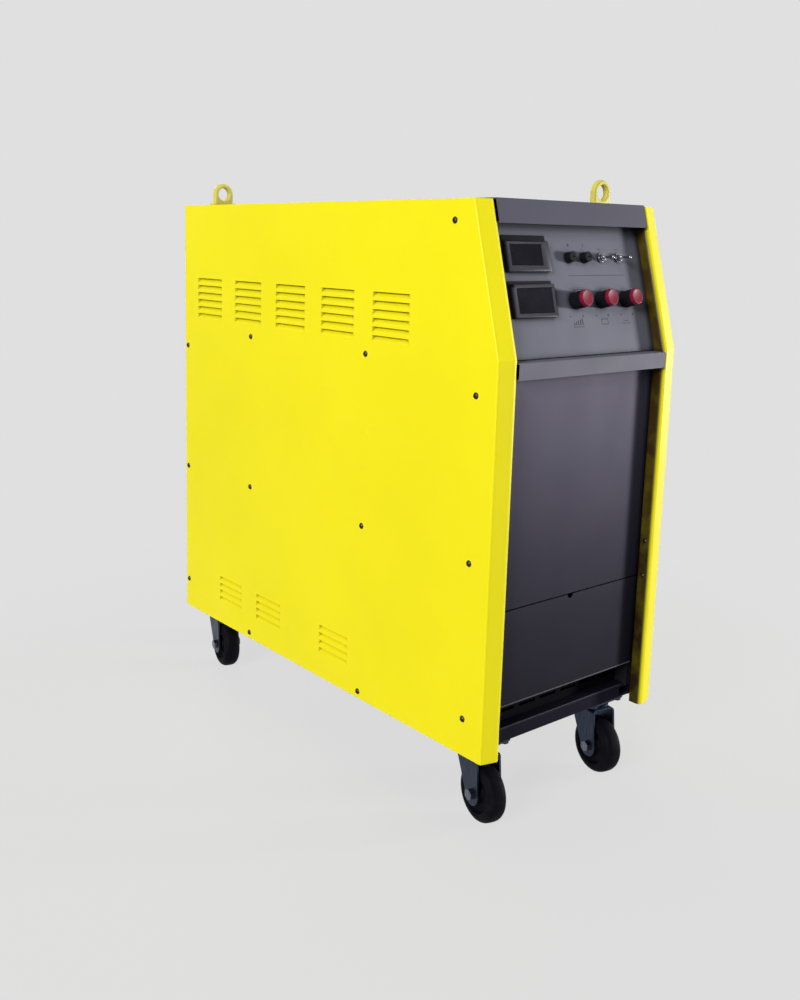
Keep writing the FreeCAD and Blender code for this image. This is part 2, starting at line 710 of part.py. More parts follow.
def floor_plate():
    plate = box(-INSIDE, INSIDE, BASE_FRONT, BASE_REAR, BASE_TOP, FLOOR_TOP)
    for y in (FRONT_POST_Y, REAR_POST_Y, *MIDDLE_POST_YS):
        notch = box(-INSIDE - 1, -TUBE_IN, y - TUBE / 2, y + TUBE / 2, BASE_TOP - 1, FLOOR_TOP + 1)
        plate = plate.cut(both_sides(notch))
    return plate


def caster_plate(x, y):
    """The fixed half of a caster: plate, ball race, king pin and its nut."""
    wide, long_, thick = CASTER_PLATE
    plate = box(x - wide / 2, x + wide / 2, y - long_ / 2, y + long_ / 2, PLATE_Z, BASE_Z)
    plate = plate.makeFillet(CASTER_PLATE_ROUND, edges_along(plate, Z))
    race = rod(V(x, y, CROWN_TOP + RACE_LAND), Z, RACE_RADIUS, RACE_HEIGHT - RACE_LAND)
    seat = rod(V(x, y, CROWN_TOP + BORE_GAP), Z, 2 * KING_PIN_RADIUS, RACE_HEIGHT - BORE_GAP)
    start = V(x, y, CROWN_Z - BORE_GAP)
    pin = rod(start, Z, KING_PIN_RADIUS, PLATE_Z - CROWN_Z)
    nut = hexagon(start, Z * -1, KING_NUT_ACROSS, KING_NUT_THICK)
    holes = [rod(V(bx, by, PLATE_Z - 1), Z, CASTER_BOLT_RADIUS, thick + 2) for bx, by in bolt_places(x, y)]
    return plate.fuse([race, seat, pin, nut]).cut(holes)


def caster_bolts(x, y):
    """Four hexagon bolts that hold a caster plate up against the base."""
    bolts = []
    for bx, by in bolt_places(x, y):
        place = V(bx, by, PLATE_Z)
        head = hexagon(place, Z * -1, CASTER_BOLT_ACROSS, CASTER_BOLT_HEAD)
        bolts.append(head.fuse(rod(place, Z, CASTER_BOLT_RADIUS, CASTER_BOLT_REACH)))
    return bolts


def turned(shape, x, y, trail):
    """Turn a caster piece that trails along +Y to its own direction and move it to its pivot."""
    angle = math.degrees(math.atan2(-trail.x, trail.y))
    shape.rotate(V(0, 0, 0), Z, angle)
    shape.translate(V(x, y, 0))
    return shape


def caster_fork():
    """The swivel fork: one bent plate, whose legs slope to the axle, under a round crown."""
    gap = FORK_GAP / 2
    outside = gap + FORK_WALL
    half = FORK_TOP_WIDTH / 2
    foot = FORK_FOOT_RADIUS
    trail = CASTER_TRAIL
    crown = rod(V(0, 0, CROWN_Z), Z, CROWN_RADIUS, FORK_WALL + RACE_LAND + SWIVEL_GAP)
    crown = crown.cut(rod(V(0, 0, CROWN_TOP), Z, RACE_RADIUS + SWIVEL_GAP, RACE_HEIGHT))
    low = WHEEL_RADIUS - foot - 1
    outer = [V(-outside, 0, low), V(-outside, 0, CROWN_TOP), V(outside, 0, CROWN_TOP), V(outside, 0, low)]
    inner = [V(-gap, 0, low), V(-gap, 0, CROWN_Z), V(gap, 0, CROWN_Z), V(gap, 0, low)]
    plate = bent_sheet(outer, inner, [FORK_SHOULDER, FORK_SHOULDER], FORK_WALL)
    plate.translate(V(0, -2 * half, 0))
    outline = [V(-outside - 1, -half, CROWN_TOP + 1), V(-outside - 1, half, CROWN_TOP + 1),
               V(-outside - 1, trail + foot, WHEEL_RADIUS), V(-outside - 1, trail - foot, WHEEL_RADIUS)]
    leg = prism(outline, V(2 * outside + 2, 0, 0))
    leg = leg.fuse(rod(V(-outside - 1, trail, WHEEL_RADIUS), X, foot, 2 * outside + 2))
    fork = plate.extrude(V(0, 4 * half, 0)).common(leg).fuse(crown)
    bore = rod(V(0, 0, CROWN_Z - 1), Z, KING_PIN_RADIUS + BORE_GAP, FORK_WALL + 2)
    axle_hole = rod(V(-outside - 1, trail, WHEEL_RADIUS), X, AXLE_RADIUS, 2 * outside + 2)
    return fork.cut([bore, axle_hole])


def caster_axle():
    """A hexagon bolt through the fork's feet, with its nut."""
    outside = FORK_GAP / 2 + FORK_WALL
    start = V(-outside, CASTER_TRAIL, WHEEL_RADIUS)
    end = V(outside, CASTER_TRAIL, WHEEL_RADIUS)
    shank = rod(start, X, AXLE_RADIUS, 2 * outside + AXLE_HEAD_THICK)
    head = hexagon(start, X * -1, AXLE_HEAD_ACROSS, AXLE_HEAD_THICK)
    return shank.fuse([head, hexagon(end, X, AXLE_HEAD_ACROSS, AXLE_HEAD_THICK)])


def caster_wheel():
    """A solid moulded wheel: rounded tread, a pocket in each side and a longer hub."""
    centre = V(0, CASTER_TRAIL, WHEEL_RADIUS)

    def disc(radius, wide, shift=0.0):
        return rod(centre.add(V(shift - wide / 2, 0, 0)), X, radius, wide)

    inner, outer, deep = WHEEL_POCKET
    wheel = round_rims(disc(WHEEL_RADIUS, WHEEL_WIDTH), WHEEL_RADIUS, WHEEL_ROUND)
    for side in (-1, 1):
        shift = side * (WHEEL_WIDTH - deep) / 2
        wheel = wheel.cut(disc(outer, deep, shift).cut(disc(inner, deep, shift)))
    wheel = wheel.fuse(disc(HUB_BOSS_RADIUS, HUB_WIDTH))
    return wheel.cut(disc(AXLE_RADIUS + BORE_GAP, 2 * HUB_WIDTH))


def casters():
    plates, bolts = [], []
    for name, x, y, trail in caster_pivots():
        plates.append(caster_plate(x, y))
        bolts += caster_bolts(x, y)
        write("caster_fork_" + name, turned(caster_fork(), x, y, trail))
        write("caster_axle_" + name, turned(caster_axle(), x, y, trail))
        write("wheel_" + name, turned(caster_wheel(), x, y, trail))
    write("caster_plates", plates)
    write("caster_bolts", bolts)


def middle_bar():
    """The light grey bar at the knee: a channel whose flanges reach the frame."""
    x = LIP_X - PANEL_GAP
    back = FRONT_POST_Y - TUBE / 2
    bar = box(-x, x, FRONT, back, BAR_FOOT, BAR_TOP)
    return bar.cut(box(-x - 1, x + 1, FRONT + SHEET, back + 1, BAR_FOOT + SHEET, BAR_TOP - SHEET))


def front_tray(z0, z1, flange_z0):
    """A flat front panel whose side flanges fold forward against the covers' lips."""
    face = FRONT + FRONT_RECESS
    x = LIP_BACK_X + SHEET
    plate = box(-x, x, face, face + SHEET, z0, z1)
    flange = box(-x, -x + SHEET, face + SHEET - PANEL_FLANGE, face + SHEET, flange_z0, z1)
    return plate.fuse(both_sides(flange))


def panel_screw_places():
    joint = FOOT + LOWER_PANEL_TOP
    return [V(-LIP_X, FRONT + PANEL_SCREW_DEPTH, joint + rise) for rise in PANEL_SCREW_RISES]


def panel_screw_cutters():
    radius = PANEL_SCREW_RADIUS + SCREW_HOLE_GAP
    return both_sides(*[rod(place.add(X), X * -1, radius, 2 * SHEET + 2) for place in panel_screw_places()])


def lower_front_panel():
    """The removable lower panel: a hem, ears under the upper panel and a finger notch."""
    z0, z1 = FOOT + LOWER_PANEL_FOOT, FOOT + LOWER_PANEL_TOP
    face = FRONT + FRONT_RECESS
    x = LIP_X - PANEL_GAP
    panel = front_tray(z0, z1, z0)
    hem = box(-x, x, face, FRONT_POST_Y - TUBE / 2, z0, z0 + SHEET)
    ear_front = face + SHEET - PANEL_FLANGE
    ear = box(-LIP_BACK_X - SHEET, -LIP_BACK_X, ear_front, face, z1 - SHEET, z1 + LOWER_FLANGE_RISE)
    panel = panel.fuse([hem] + both_sides(ear))
    return panel.cut(panel_screw_cutters() + [rod(V(0, face - 1, z1), Y, NOTCH_RADIUS, SHEET + 2)])


def upper_front_panel():
    z0 = FOOT + LOWER_PANEL_TOP + PANEL_JOINT
    panel = front_tray(z0, BAR_FOOT - PANEL_GAP, z0 + LOWER_FLANGE_RISE)
    return panel.cut(panel_screw_cutters())


def panel_screws():
    screws = [domed_screw(place, X, PANEL_SCREW_RADIUS, PANEL_SCREW_HEAD, PANEL_SCREW_REACH)
              for place in panel_screw_places()]
    return both_sides(*screws)


def control_panel():
    """The leaning console: a face between the covers and cheeks back to the upper posts."""
    x = INSIDE - CONSOLE_CHEEK_INSET
    post = UPPER_POST_Y - TUBE / 2
    z0 = RAIL_TOP + PANEL_GAP
    z1 = SURFACE - SHEET - CONSOLE_TOP_GAP
    run = SHEET / math.cos(LEAN)

    def p(z, deep):
        return V(-x, FRONT + FRONT_RECESS + (z - KNEE) * SLOPE + deep, z)

    face = prism([p(z0, 0), p(z1, 0), p(z1, run), p(z0, run)], V(2 * x, 0, 0))
    cheek = prism([p(z0, 0), p(z1, 0), V(-x, post, z1), V(-x, post, z0)], V(SHEET, 0, 0))
    panel = face.fuse(both_sides(cheek))
    gap = 2 * PANEL_GAP
    cutters = [panel_box(METER_X, h, METER_BODY[0] + gap, METER_BODY[1] + gap, -2 * SHEET, SHEET)
               for h in METER_HEIGHTS]
    cutters += [panel_rod(cx, CONTROL_ROW, FUSE_BODY_RADIUS, -2 * SHEET, SHEET) for cx in FUSE_XS]
    cutters += [panel_rod(cx, CONTROL_ROW, TOGGLE_BUSH_RADIUS, -2 * SHEET, SHEET) for cx in TOGGLE_XS]
    cutters += [panel_rod(cx, KNOB_ROW, POT_BUSH_RADIUS, -2 * SHEET, SHEET) for cx in KNOB_XS]
    return panel.cut(cutters)


def meter_housing(height, window):
    """A panel meter: a bezel on the panel's face and a deep body through it."""
    wide, high = METER_SIZE
    bezel = panel_box(METER_X, height, wide, high, 0, METER_BEZEL)
    body = panel_box(METER_X, height, METER_BODY[0], METER_BODY[1], -METER_BODY[2], 1)
    dx, dz, w, h = window
    deep = WINDOW_SINK + WINDOW_THICK
    pocket = panel_box(METER_X + dx, height + dz, w, h, METER_BEZEL - deep, METER_BEZEL + 1)
    return bezel.fuse(body).cut(pocket)


def meter_window(height, window):
    dx, dz, w, h = window
    far = METER_BEZEL - WINDOW_SINK
    return panel_box(METER_X + dx, height + dz, w, h, far - WINDOW_THICK, far)


def meter_strip(height):
    up = (METER_SIZE[1] + LABEL_HEIGHT) / 2 * math.cos(LEAN)
    return panel_box(METER_X, height + up, METER_SIZE[0], LABEL_HEIGHT, 0, LABEL_THICK)


def potentiometer(x):
    """The body behind the panel, its threaded bush and the nut under the knob."""
    body = panel_rod(x, KNOB_ROW, POT_RADIUS, -SHEET - POT_DEPTH, -SHEET)
    bush = panel_rod(x, KNOB_ROW, POT_BUSH_RADIUS, -SHEET - 1, POT_NUT_THICK)
    nut = hexagon(on_panel(x, KNOB_ROW), OUTWARD, POT_NUT_ACROSS, POT_NUT_THICK)
    bore = panel_rod(x, KNOB_ROW, SPINDLE_RADIUS + BORE_GAP, -SHEET - POT_DEPTH - 1, POT_NUT_THICK + 1)
    return body.fuse([bush, nut]).cut(bore)


def grip(x, height, radius, start, length, flute):
    """Cutters for the grooves round a knob or cap."""
    cutters = []
    for i in range(KNOB_FLUTES):
        a = 2 * math.pi * i / KNOB_FLUTES
        shift = X * (radius * math.cos(a)) + UPWARD * (radius * math.sin(a))
        cutters.append(rod(on_panel(x, height, start).add(shift), OUTWARD, flute, length))
    return cutters


def knob(x):
    """A fluted knob, hollow over the nut, with its moulded spindle."""
    far = KNOB_STANDOFF + KNOB_BODY
    body = panel_rod(x, KNOB_ROW, KNOB_RADIUS, KNOB_STANDOFF, far)
    radius = KNOB_RADIUS + KNOB_FLUTE_RADIUS / 2
    flutes = grip(x, KNOB_ROW, radius, KNOB_STANDOFF - 1, KNOB_BODY + 2, KNOB_FLUTE_RADIUS)
    hollow = panel_rod(x, KNOB_ROW, POT_NUT_ACROSS / math.sqrt(3) + 1, 0, POT_NUT_THICK + KNOB_STANDOFF)
    spindle = panel_rod(x, KNOB_ROW, SPINDLE_RADIUS, -SPINDLE_REACH, far - 1)
    return body.cut(flutes + [hollow]).fuse(spindle)


def knob_cap(x):
    near = KNOB_STANDOFF + KNOB_BODY
    cap = panel_rod(x, KNOB_ROW, KNOB_RADIUS - KNOB_CAP_INSET, near, near + KNOB_CAP)
    return round_end(cap, OUTWARD, KNOB_CAP_INSET)


def fuse_holder(x):
    """A panel fuse holder: body behind, collar in front, bored for the cap's stem."""
    body = panel_rod(x, CONTROL_ROW, FUSE_BODY_RADIUS, -FUSE_BODY_DEPTH, 1)
    nut = panel_rod(x, CONTROL_ROW, FUSE_COLLAR_RADIUS, -SHEET - FUSE_COLLAR, -SHEET)
    collar = panel_rod(x, CONTROL_ROW, FUSE_COLLAR_RADIUS, 0, FUSE_COLLAR)
    bore = panel_rod(x, CONTROL_ROW, FUSE_STEM_RADIUS + BORE_GAP, -FUSE_STEM_LENGTH, FUSE_COLLAR + 1)
    return body.fuse([nut, collar]).cut(bore)


def fuse_cap(x):
    """A round cap with grip grooves, a driver slot and a stem that carries the fuse."""
    near = FUSE_COLLAR + BORE_GAP
    far = near + FUSE_CAP_LENGTH
    cap = panel_rod(x, CONTROL_ROW, FUSE_CAP_RADIUS, near, far)
    notches = grip(x, CONTROL_ROW, FUSE_CAP_RADIUS, near + 2, FUSE_CAP_LENGTH, KNOB_FLUTE_RADIUS / 2)
    slot = panel_box(x, CONTROL_ROW, FUSE_CAP_RADIUS, 1.6, far - 1.5, far + 1)
    stem = panel_rod(x, CONTROL_ROW, FUSE_STEM_RADIUS, 1 - FUSE_STEM_LENGTH, near + 1)
    return cap.cut(notches + [slot]).fuse(stem)


def toggle_pivot(x):
    """The middle of the lever's ball, level with the end of the bush."""
    return on_panel(x, CONTROL_ROW, TOGGLE_BUSH_LENGTH)


def toggle_body(x):
    """A toggle switch: case behind the panel, bush through it with a round seat, and a nut."""
    wide, high, deep = TOGGLE_BODY
    case = panel_box(x, CONTROL_ROW, wide, high, -SHEET - deep, -SHEET)
    bush = panel_rod(x, CONTROL_ROW, TOGGLE_BUSH_RADIUS, -SHEET - 1, TOGGLE_BUSH_LENGTH)
    nut = hexagon(on_panel(x, CONTROL_ROW), OUTWARD, TOGGLE_NUT_ACROSS, TOGGLE_NUT_THICK)
    seat = Part.makeSphere(TOGGLE_BALL_RADIUS + BORE_GAP, toggle_pivot(x))
    return case.fuse([bush, nut]).cut(seat)


def toggle_lever(x):
    """A lever on a ball, thicker towards its rounded tip, resting tipped down."""
    tilt = math.radians(TOGGLE_TILT)
    along = OUTWARD * math.cos(tilt) - UPWARD * math.sin(tilt)
    ball, neck, tip, length = TOGGLE_BALL_RADIUS, TOGGLE_NECK_RADIUS, TOGGLE_TIP_RADIUS, TOGGLE_LEVER_LENGTH
    start, end = V(0, 0, -ball), V(0, 0, length + tip)
    foot = V(neck, 0, math.sqrt(ball ** 2 - neck ** 2))
    head = V(tip, 0, length)
    bend = V(tip * math.sqrt(0.5), 0, length + tip * math.sqrt(0.5))
    edges = [Part.Arc(start, V(ball, 0, 0), foot).toShape(), Part.makeLine(foot, head),
             Part.Arc(head, bend, end).toShape(), Part.makeLine(end, start)]
    lever = Part.Face(Part.Wire(edges)).revolve(V(0, 0, 0), Z, 360)
    lever.Placement = FreeCAD.Placement(toggle_pivot(x), FreeCAD.Rotation(Z, along))
    return lever


def slot_cutters(middle_y, foot, size, pitch, count):
    """Rows of air slots through an upright sheet that faces Y."""
    cutters = []
    for i in range(count[0]):
        for j in range(count[1]):
            x = (i - (count[0] - 1) / 2) * pitch[0]
            z = foot + j * pitch[1]
            cutters.append(box(x - size[0] / 2, x + size[0] / 2, middle_y - 2 * SHEET,
                               middle_y + 2 * SHEET, z, z + size[1]))
    return cutters


def rear_panel():
    """The flat rear wall with air slots and the mains cable's hole."""
    x = INSIDE - PANEL_GAP
    panel = box(-x, x, REAR - SHEET, REAR, BASE_Z + PANEL_GAP, TOP - SHEET - PANEL_GAP)
    slots = slot_cutters(REAR, TOP - REAR_SLOT_DROP, REAR_SLOT, REAR_SLOT_PITCH, REAR_SLOT_COUNT)
    hole = rod(V(GLAND_X, REAR - SHEET - 1, FOOT + GLAND_HEIGHT), Y, GLAND_THREAD_RADIUS, SHEET + 2)
    return panel.cut(slots + [hole])


def cable_gland():
    """A screwed cable gland: collar and domed nut outside, locknut inside, open bore."""
    z = FOOT + GLAND_HEIGHT
    inner = REAR - SHEET - GLAND_NUT_THICK
    thread = rod(V(GLAND_X, inner, z), Y, GLAND_THREAD_RADIUS, REAR - inner + 1)
    locknut = hexagon(V(GLAND_X, inner, z), Y, GLAND_NUT_ACROSS, GLAND_NUT_THICK)
    collar = hexagon(V(GLAND_X, REAR, z), Y, GLAND_NUT_ACROSS, GLAND_NUT_THICK)
    nut = round_end(rod(V(GLAND_X, REAR, z), Y, GLAND_RADIUS - 1, GLAND_REACH), Y, GLAND_ROUND)
    bore = rod(V(GLAND_X, inner - 1, z), Y, GLAND_BORE_RADIUS, GLAND_REACH + REAR - inner + 2)
    return thread.fuse([locknut, collar, nut]).cut(bore)


def intake_grille():
    """A slotted plate on the floor plate, behind the gap under the lower panel."""
    x = TUBE_IN
    y = FRONT + INTAKE_DEPTH
    plate = box(-x, x, y, y + SHEET, FLOOR_TOP, FLOOR_TOP + INTAKE_HEIGHT)
    across = (2 * (x - INTAKE_SLOT_MARGIN) - INTAKE_SLOT[0]) / (INTAKE_SLOT_COUNT[0] - 1)
    pitch = (across, INTAKE_SLOT_RISE)
    return plate.cut(slot_cutters(y, FLOOR_TOP + INTAKE_SLOT_FOOT, INTAKE_SLOT, pitch, INTAKE_SLOT_COUNT))


def shelf():
    """The equipment shelf on the side rails, with the fan's round duct standing on it."""
    front = FRONT_POST_Y - TUBE / 2
    rear = REAR_POST_Y - TUBE / 2
    plate = box(-INSIDE, INSIDE, front, rear, RAIL_TOP, SHELF_TOP)
    reach = TUBE / 2
    z0, z1 = RAIL_TOP - 1, SHELF_TOP + 1
    notch = box(-INSIDE - 1, -TUBE_IN, UPPER_POST_Y - reach, UPPER_POST_Y + reach, z0, z1)
    cheek = -INSIDE + CONSOLE_CHEEK_INSET + SHEET
    corner = box(-INSIDE - 1, cheek, front - 1, UPPER_POST_Y - reach + 1, z0, z1)
    bore = FAN_RADIUS + FAN_TIP_GAP
    duct = rod(V(0, FAN_Y, RAIL_TOP), Z, bore + SHEET, DUCT_TOP - RAIL_TOP)
    hole = rod(V(0, FAN_Y, RAIL_TOP - 1), Z, bore, DUCT_TOP - RAIL_TOP + 2)
    return plate.cut(both_sides(notch, corner)).fuse(duct).cut(hole)


def fan_motor():
    """The motor on its spider, whose arms rest on the duct."""
    reach = FAN_RADIUS + FAN_TIP_GAP + SHEET
    half = SPIDER_WIDTH / 2
    top = DUCT_TOP + SPIDER_THICK
    arms = [box(-reach, reach, FAN_Y - half, FAN_Y + half, DUCT_TOP, top),
            box(-half, half, FAN_Y - reach, FAN_Y + reach, DUCT_TOP, top)]
    motor = rod(V(0, FAN_Y, DUCT_TOP), Z, MOTOR_RADIUS, SPIDER_THICK + MOTOR_HEIGHT)
    bore = rod(V(0, FAN_Y, DUCT_TOP - 1), Z, MOTOR_SHAFT_RADIUS + BORE_GAP, MOTOR_SHAFT_REACH)
    return motor.fuse(arms).cut(bore)


def fan_rotor():
    """A hub with pitched blades and the motor's shaft."""
    z0 = SHELF_TOP + FAN_HUB_LIFT
    hub = rod(V(0, FAN_Y, z0), Z, FAN_HUB_RADIUS, FAN_HUB_HEIGHT)
    end = DUCT_TOP + MOTOR_SHAFT_REACH - 1 - SHAFT_END_GAP
    shaft = rod(V(0, FAN_Y, z0 + 1), Z, MOTOR_SHAFT_RADIUS, end - z0 - 1)
    keep = rod(V(0, FAN_Y, z0), Z, FAN_RADIUS, FAN_HUB_HEIGHT)
    half, thick = FAN_BLADE_WIDTH / 2, FAN_BLADE_THICK / 2
    blades = []
    for i in range(FAN_BLADES):
        blade = box(FAN_HUB_RADIUS - 3, FAN_RADIUS + 1, -half, half, -thick, thick)
        blade.rotate(V(0, 0, 0), X, FAN_BLADE_PITCH)
        blade.rotate(V(0, 0, 0), Z, 360.0 * i / FAN_BLADES)
        blade.translate(V(0, FAN_Y, z0 + FAN_HUB_HEIGHT / 2))
        blades.append(blade.common(keep))
    return hub.fuse(blades + [shaft])


def core_frame(y0, limb, window, limbs, stack):
    """A laminated core standing on the floor plate, with its windows cut through."""
    length = limbs * limb + (limbs - 1) * window[0]
    height = window[1] + 2 * limb
    core = box(-stack / 2, stack / 2, y0, y0 + length, FLOOR_TOP, FLOOR_TOP + height)
    for i in range(limbs - 1):
        start = y0 + limb + i * (limb + window[0])
        core = core.cut(box(-stack, stack, start, start + window[0], FLOOR_TOP + limb,
                            FLOOR_TOP + limb + window[1]))
    return core


def coils(y0, limb, window, limbs, stack, build):
    """A wound coil round each upright limb."""
    gap = COIL_BORE_GAP
    reach = gap + build
    z0 = FLOOR_TOP + limb + COIL_END_GAP
    z1 = FLOOR_TOP + limb + window[1] - COIL_END_GAP
    found = []
    for i in range(limbs):
        start = y0 + i * (limb + window[0])
        outer = box(-stack / 2 - reach, stack / 2 + reach, start - reach, start + limb + reach, z0, z1)
        outer = outer.makeFillet(min(COIL_ROUND, build * 0.6), edges_along(outer, Z))
        found.append(outer.cut(box(-stack / 2 - gap, stack / 2 + gap, start - gap, start + limb + gap,
                                   z0 - 1, z1 + 1)))
    return found


def clamp_bolts():
    """Where the core's clamp bolts pass, as Y and Z."""
    y0 = FRONT + CORE_DEPTH
    return [(y, z) for y in (y0 + CORE_LIMB / 2, y0 + CORE_LENGTH - CORE_LIMB / 2)
            for z in (FLOOR_TOP + CLAMP / 2, FLOOR_TOP + CORE_HEIGHT - CLAMP / 2)]


def transformer_core():
    core = core_frame(FRONT + CORE_DEPTH, CORE_LIMB, CORE_WINDOW, 3, CORE_STACK)
    reach = 2 * CORE_STACK
    return core.cut([rod(V(-CORE_STACK, y, z), X, CLAMP_BOLT_RADIUS, reach) for y, z in clamp_bolts()])


def transformer_clamps():
    """Angles along both yokes and the bolts that draw them together."""
    y0 = FRONT + CORE_DEPTH
    y1 = y0 + CORE_LENGTH
    x = -CORE_STACK / 2
    w = CLAMP_WALL
    top = FLOOR_TOP + CORE_HEIGHT
    low = box(x - w, x, y0, y1, FLOOR_TOP, FLOOR_TOP + CLAMP)
    low = low.fuse(box(x - CLAMP, x, y0, y1, FLOOR_TOP, FLOOR_TOP + w))
    high = box(x - w, x, y0, y1, top - CLAMP, top)
    high = high.fuse(box(x - CLAMP, x, y0, y1, top - w, top))
    cutters = [rod(V(x - CLAMP, y, z), X, CLAMP_BOLT_RADIUS, CLAMP) for y, z in clamp_bolts()]
    pieces = both_sides(low.cut(cutters), high.cut(cutters))
    for y, z in clamp_bolts():
        start = V(x - w, y, z)
        shank = rod(start, X, CLAMP_BOLT_RADIUS, CORE_STACK + 2 * w)
        head = hexagon(start, X * -1, 3.4 * CLAMP_BOLT_RADIUS, 1.3 * CLAMP_BOLT_RADIUS)
        nut = hexagon(V(w - x, y, z), X, 3.4 * CLAMP_BOLT_RADIUS, 1.3 * CLAMP_BOLT_RADIUS)
        pieces.append(shank.fuse([head, nut]))
    return pieces


def heat_sink():
    """A finned aluminium block standing on the shelf behind the fan."""
    wide, deep, high = SINK_SIZE
    y0 = FRONT + SINK_DEPTH
    back = y0 + deep - SINK_BASE
    sink = box(-wide / 2, wide / 2, back, y0 + deep, SHELF_TOP, SHELF_TOP + high)
    half = SINK_FIN / 2
    pitch = (wide - SINK_FIN) / (SINK_FINS - 1)
    fins = []
    for i in range(SINK_FINS):
        x = (i - (SINK_FINS - 1) / 2) * pitch
        fins.append(box(x - half, x + half, y0, back, SHELF_TOP, SHELF_TOP + high))
    return sink.fuse(fins)


def contactor():
    """The mains contactor on the shelf: a broad foot block and a narrower arc chamber."""
    x, depth = CONTACTOR_PLACE
    y = FRONT + depth
    w, d, h = CONTACTOR_SIZE
    tw, td, th = CONTACTOR_TOP
    middle = y + d / 2
    foot = box(x - w / 2, x + w / 2, y, y + d, SHELF_TOP, SHELF_TOP + h)
    head = box(x - tw / 2, x + tw / 2, middle - td / 2, middle + td / 2, SHELF_TOP + h, SHELF_TOP + h + th)
    return foot.fuse(head)


def control_board():
    """A circuit board on pillars above the shelf, with a row of relays."""
    w, d, t = BOARD_SIZE
    y0 = FRONT + BOARD_DEPTH
    z = SHELF_TOP + BOARD_PILLAR
    inset = BOARD_PILLAR_INSET
    pieces = [box(-w / 2, w / 2, y0, y0 + d, z, z + t)]
    for x in (inset - w / 2, w / 2 - inset):
        for y in (y0 + inset, y0 + d - inset):
            pieces.append(rod(V(x, y, SHELF_TOP), Z, BOARD_PILLAR_RADIUS, BOARD_PILLAR))
    rw, rd, rh = BOARD_RELAY
    for i in range(BOARD_RELAYS):
        x = (i - (BOARD_RELAYS - 1) / 2) * BOARD_RELAY_PITCH
        pieces.append(box(x - rw / 2, x + rw / 2, y0 + (d - rd) / 2, y0 + (d + rd) / 2, z + t, z + t + rh))
    return pieces


def output_board():
    """An insulating board on the floor plate behind the lower panel, bored for the studs."""
    w, t, h = OUTPUT_BOARD
    y = FRONT + OUTPUT_BOARD_DEPTH
    board = box(-w / 2, w / 2, y, y + t, FLOOR_TOP, FLOOR_TOP + h)
    return board.cut([rod(V(x, y - 1, FLOOR_TOP + STUD_HEIGHT), Y, STUD_RADIUS, t + 2) for x in STUD_XS])


def output_studs():
    """Output studs, each held in the board by a nut on both sides."""
    y = FRONT + OUTPUT_BOARD_DEPTH
    t = OUTPUT_BOARD[1]
    z = FLOOR_TOP + STUD_HEIGHT
    studs = []
    for x in STUD_XS:
        shank = rod(V(x, y - STUD_LENGTH, z), Y, STUD_RADIUS, 2 * STUD_LENGTH + t)
        nuts = [hexagon(V(x, y, z), Y * -1, STUD_NUT_ACROSS, STUD_NUT_THICK),
                hexagon(V(x, y + t, z), Y, STUD_NUT_ACROSS, STUD_NUT_THICK)]
        studs.append(shank.fuse(nuts))
    return studs


def main():
    cover = left_cover().cut(panel_screw_cutters())
    write("left_cover", cover)
    write("right_cover", mirrored(cover))
    write("cover_screws", cover_screws())
    write("frame_posts", frame_posts())
    write("frame_rails", frame_rails())
    write("base_channels", base_channels())
    write("floor_plate", floor_plate())
    write("top_cover", top_cover())
    write("lifting_eyes", [lifting_eye(x, y) for x, y in eye_places()])
    casters()
    write("middle_bar", middle_bar())
    write("upper_front_panel", upper_front_panel())
    write("lower_front_panel", lower_front_panel())
    write("panel_screws", panel_screws())
    write("control_panel", control_panel())
    meters = list(zip(METER_HEIGHTS, METER_WINDOWS))
    write("meter_housings", [meter_housing(height, window) for height, window in meters])
    write("meter_windows", [meter_window(height, window) for height, window in meters])
    write("meter_strips", [meter_strip(height) for height in METER_HEIGHTS])
    write("potentiometers", [potentiometer(x) for x in KNOB_XS])
    for name, x in zip(("left", "middle", "right"), KNOB_XS):
        write("knob_" + name, knob(x))
        write("knob_cap_" + name, knob_cap(x))
    write("fuse_holders", [fuse_holder(x) for x in FUSE_XS])
    write("toggle_bodies", [toggle_body(x) for x in TOGGLE_XS])
    for name, fuse_x, toggle_x in zip(("left", "right"), FUSE_XS, TOGGLE_XS):
        write("fuse_cap_" + name, fuse_cap(fuse_x))
        write("toggle_lever_" + name, toggle_lever(toggle_x))
    write("rear_panel", rear_panel())
    write("cable_gland", cable_gland())
    write("intake_grille", intake_grille())
    write("shelf", shelf())
    write("fan_motor", fan_motor())
    write("fan_rotor", fan_rotor())
    write("transformer_core", transformer_core())
    write("transformer_coils",
          coils(FRONT + CORE_DEPTH, CORE_LIMB, CORE_WINDOW, 3, CORE_STACK, COIL_BUILD))
    write("transformer_clamps", transformer_clamps())
    write("choke_core", core_frame(FRONT + CHOKE_DEPTH, CHOKE_LIMB, CHOKE_WINDOW, 2, CHOKE_STACK))
    write("choke_coils",
          coils(FRONT + CHOKE_DEPTH, CHOKE_LIMB, CHOKE_WINDOW, 2, CHOKE_STACK, CHOKE_COIL_BUILD))
    write("heat_sink", heat_sink())
    write("contactor", contactor())
    write("control_board", control_board())
    write("output_board", output_board())
    write("output_studs", output_studs())


main()
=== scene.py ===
# %% [markdown]
# A plasma cutter's power source, dressed for a picture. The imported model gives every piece
# in its place. This script gives them paint, plastic and metal, models the small controls and
# the caster wheels again in more detail, and sets up the light and the camera.

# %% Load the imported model
import bpy
import bmesh
import json
import math
from mathutils import Matrix, Vector


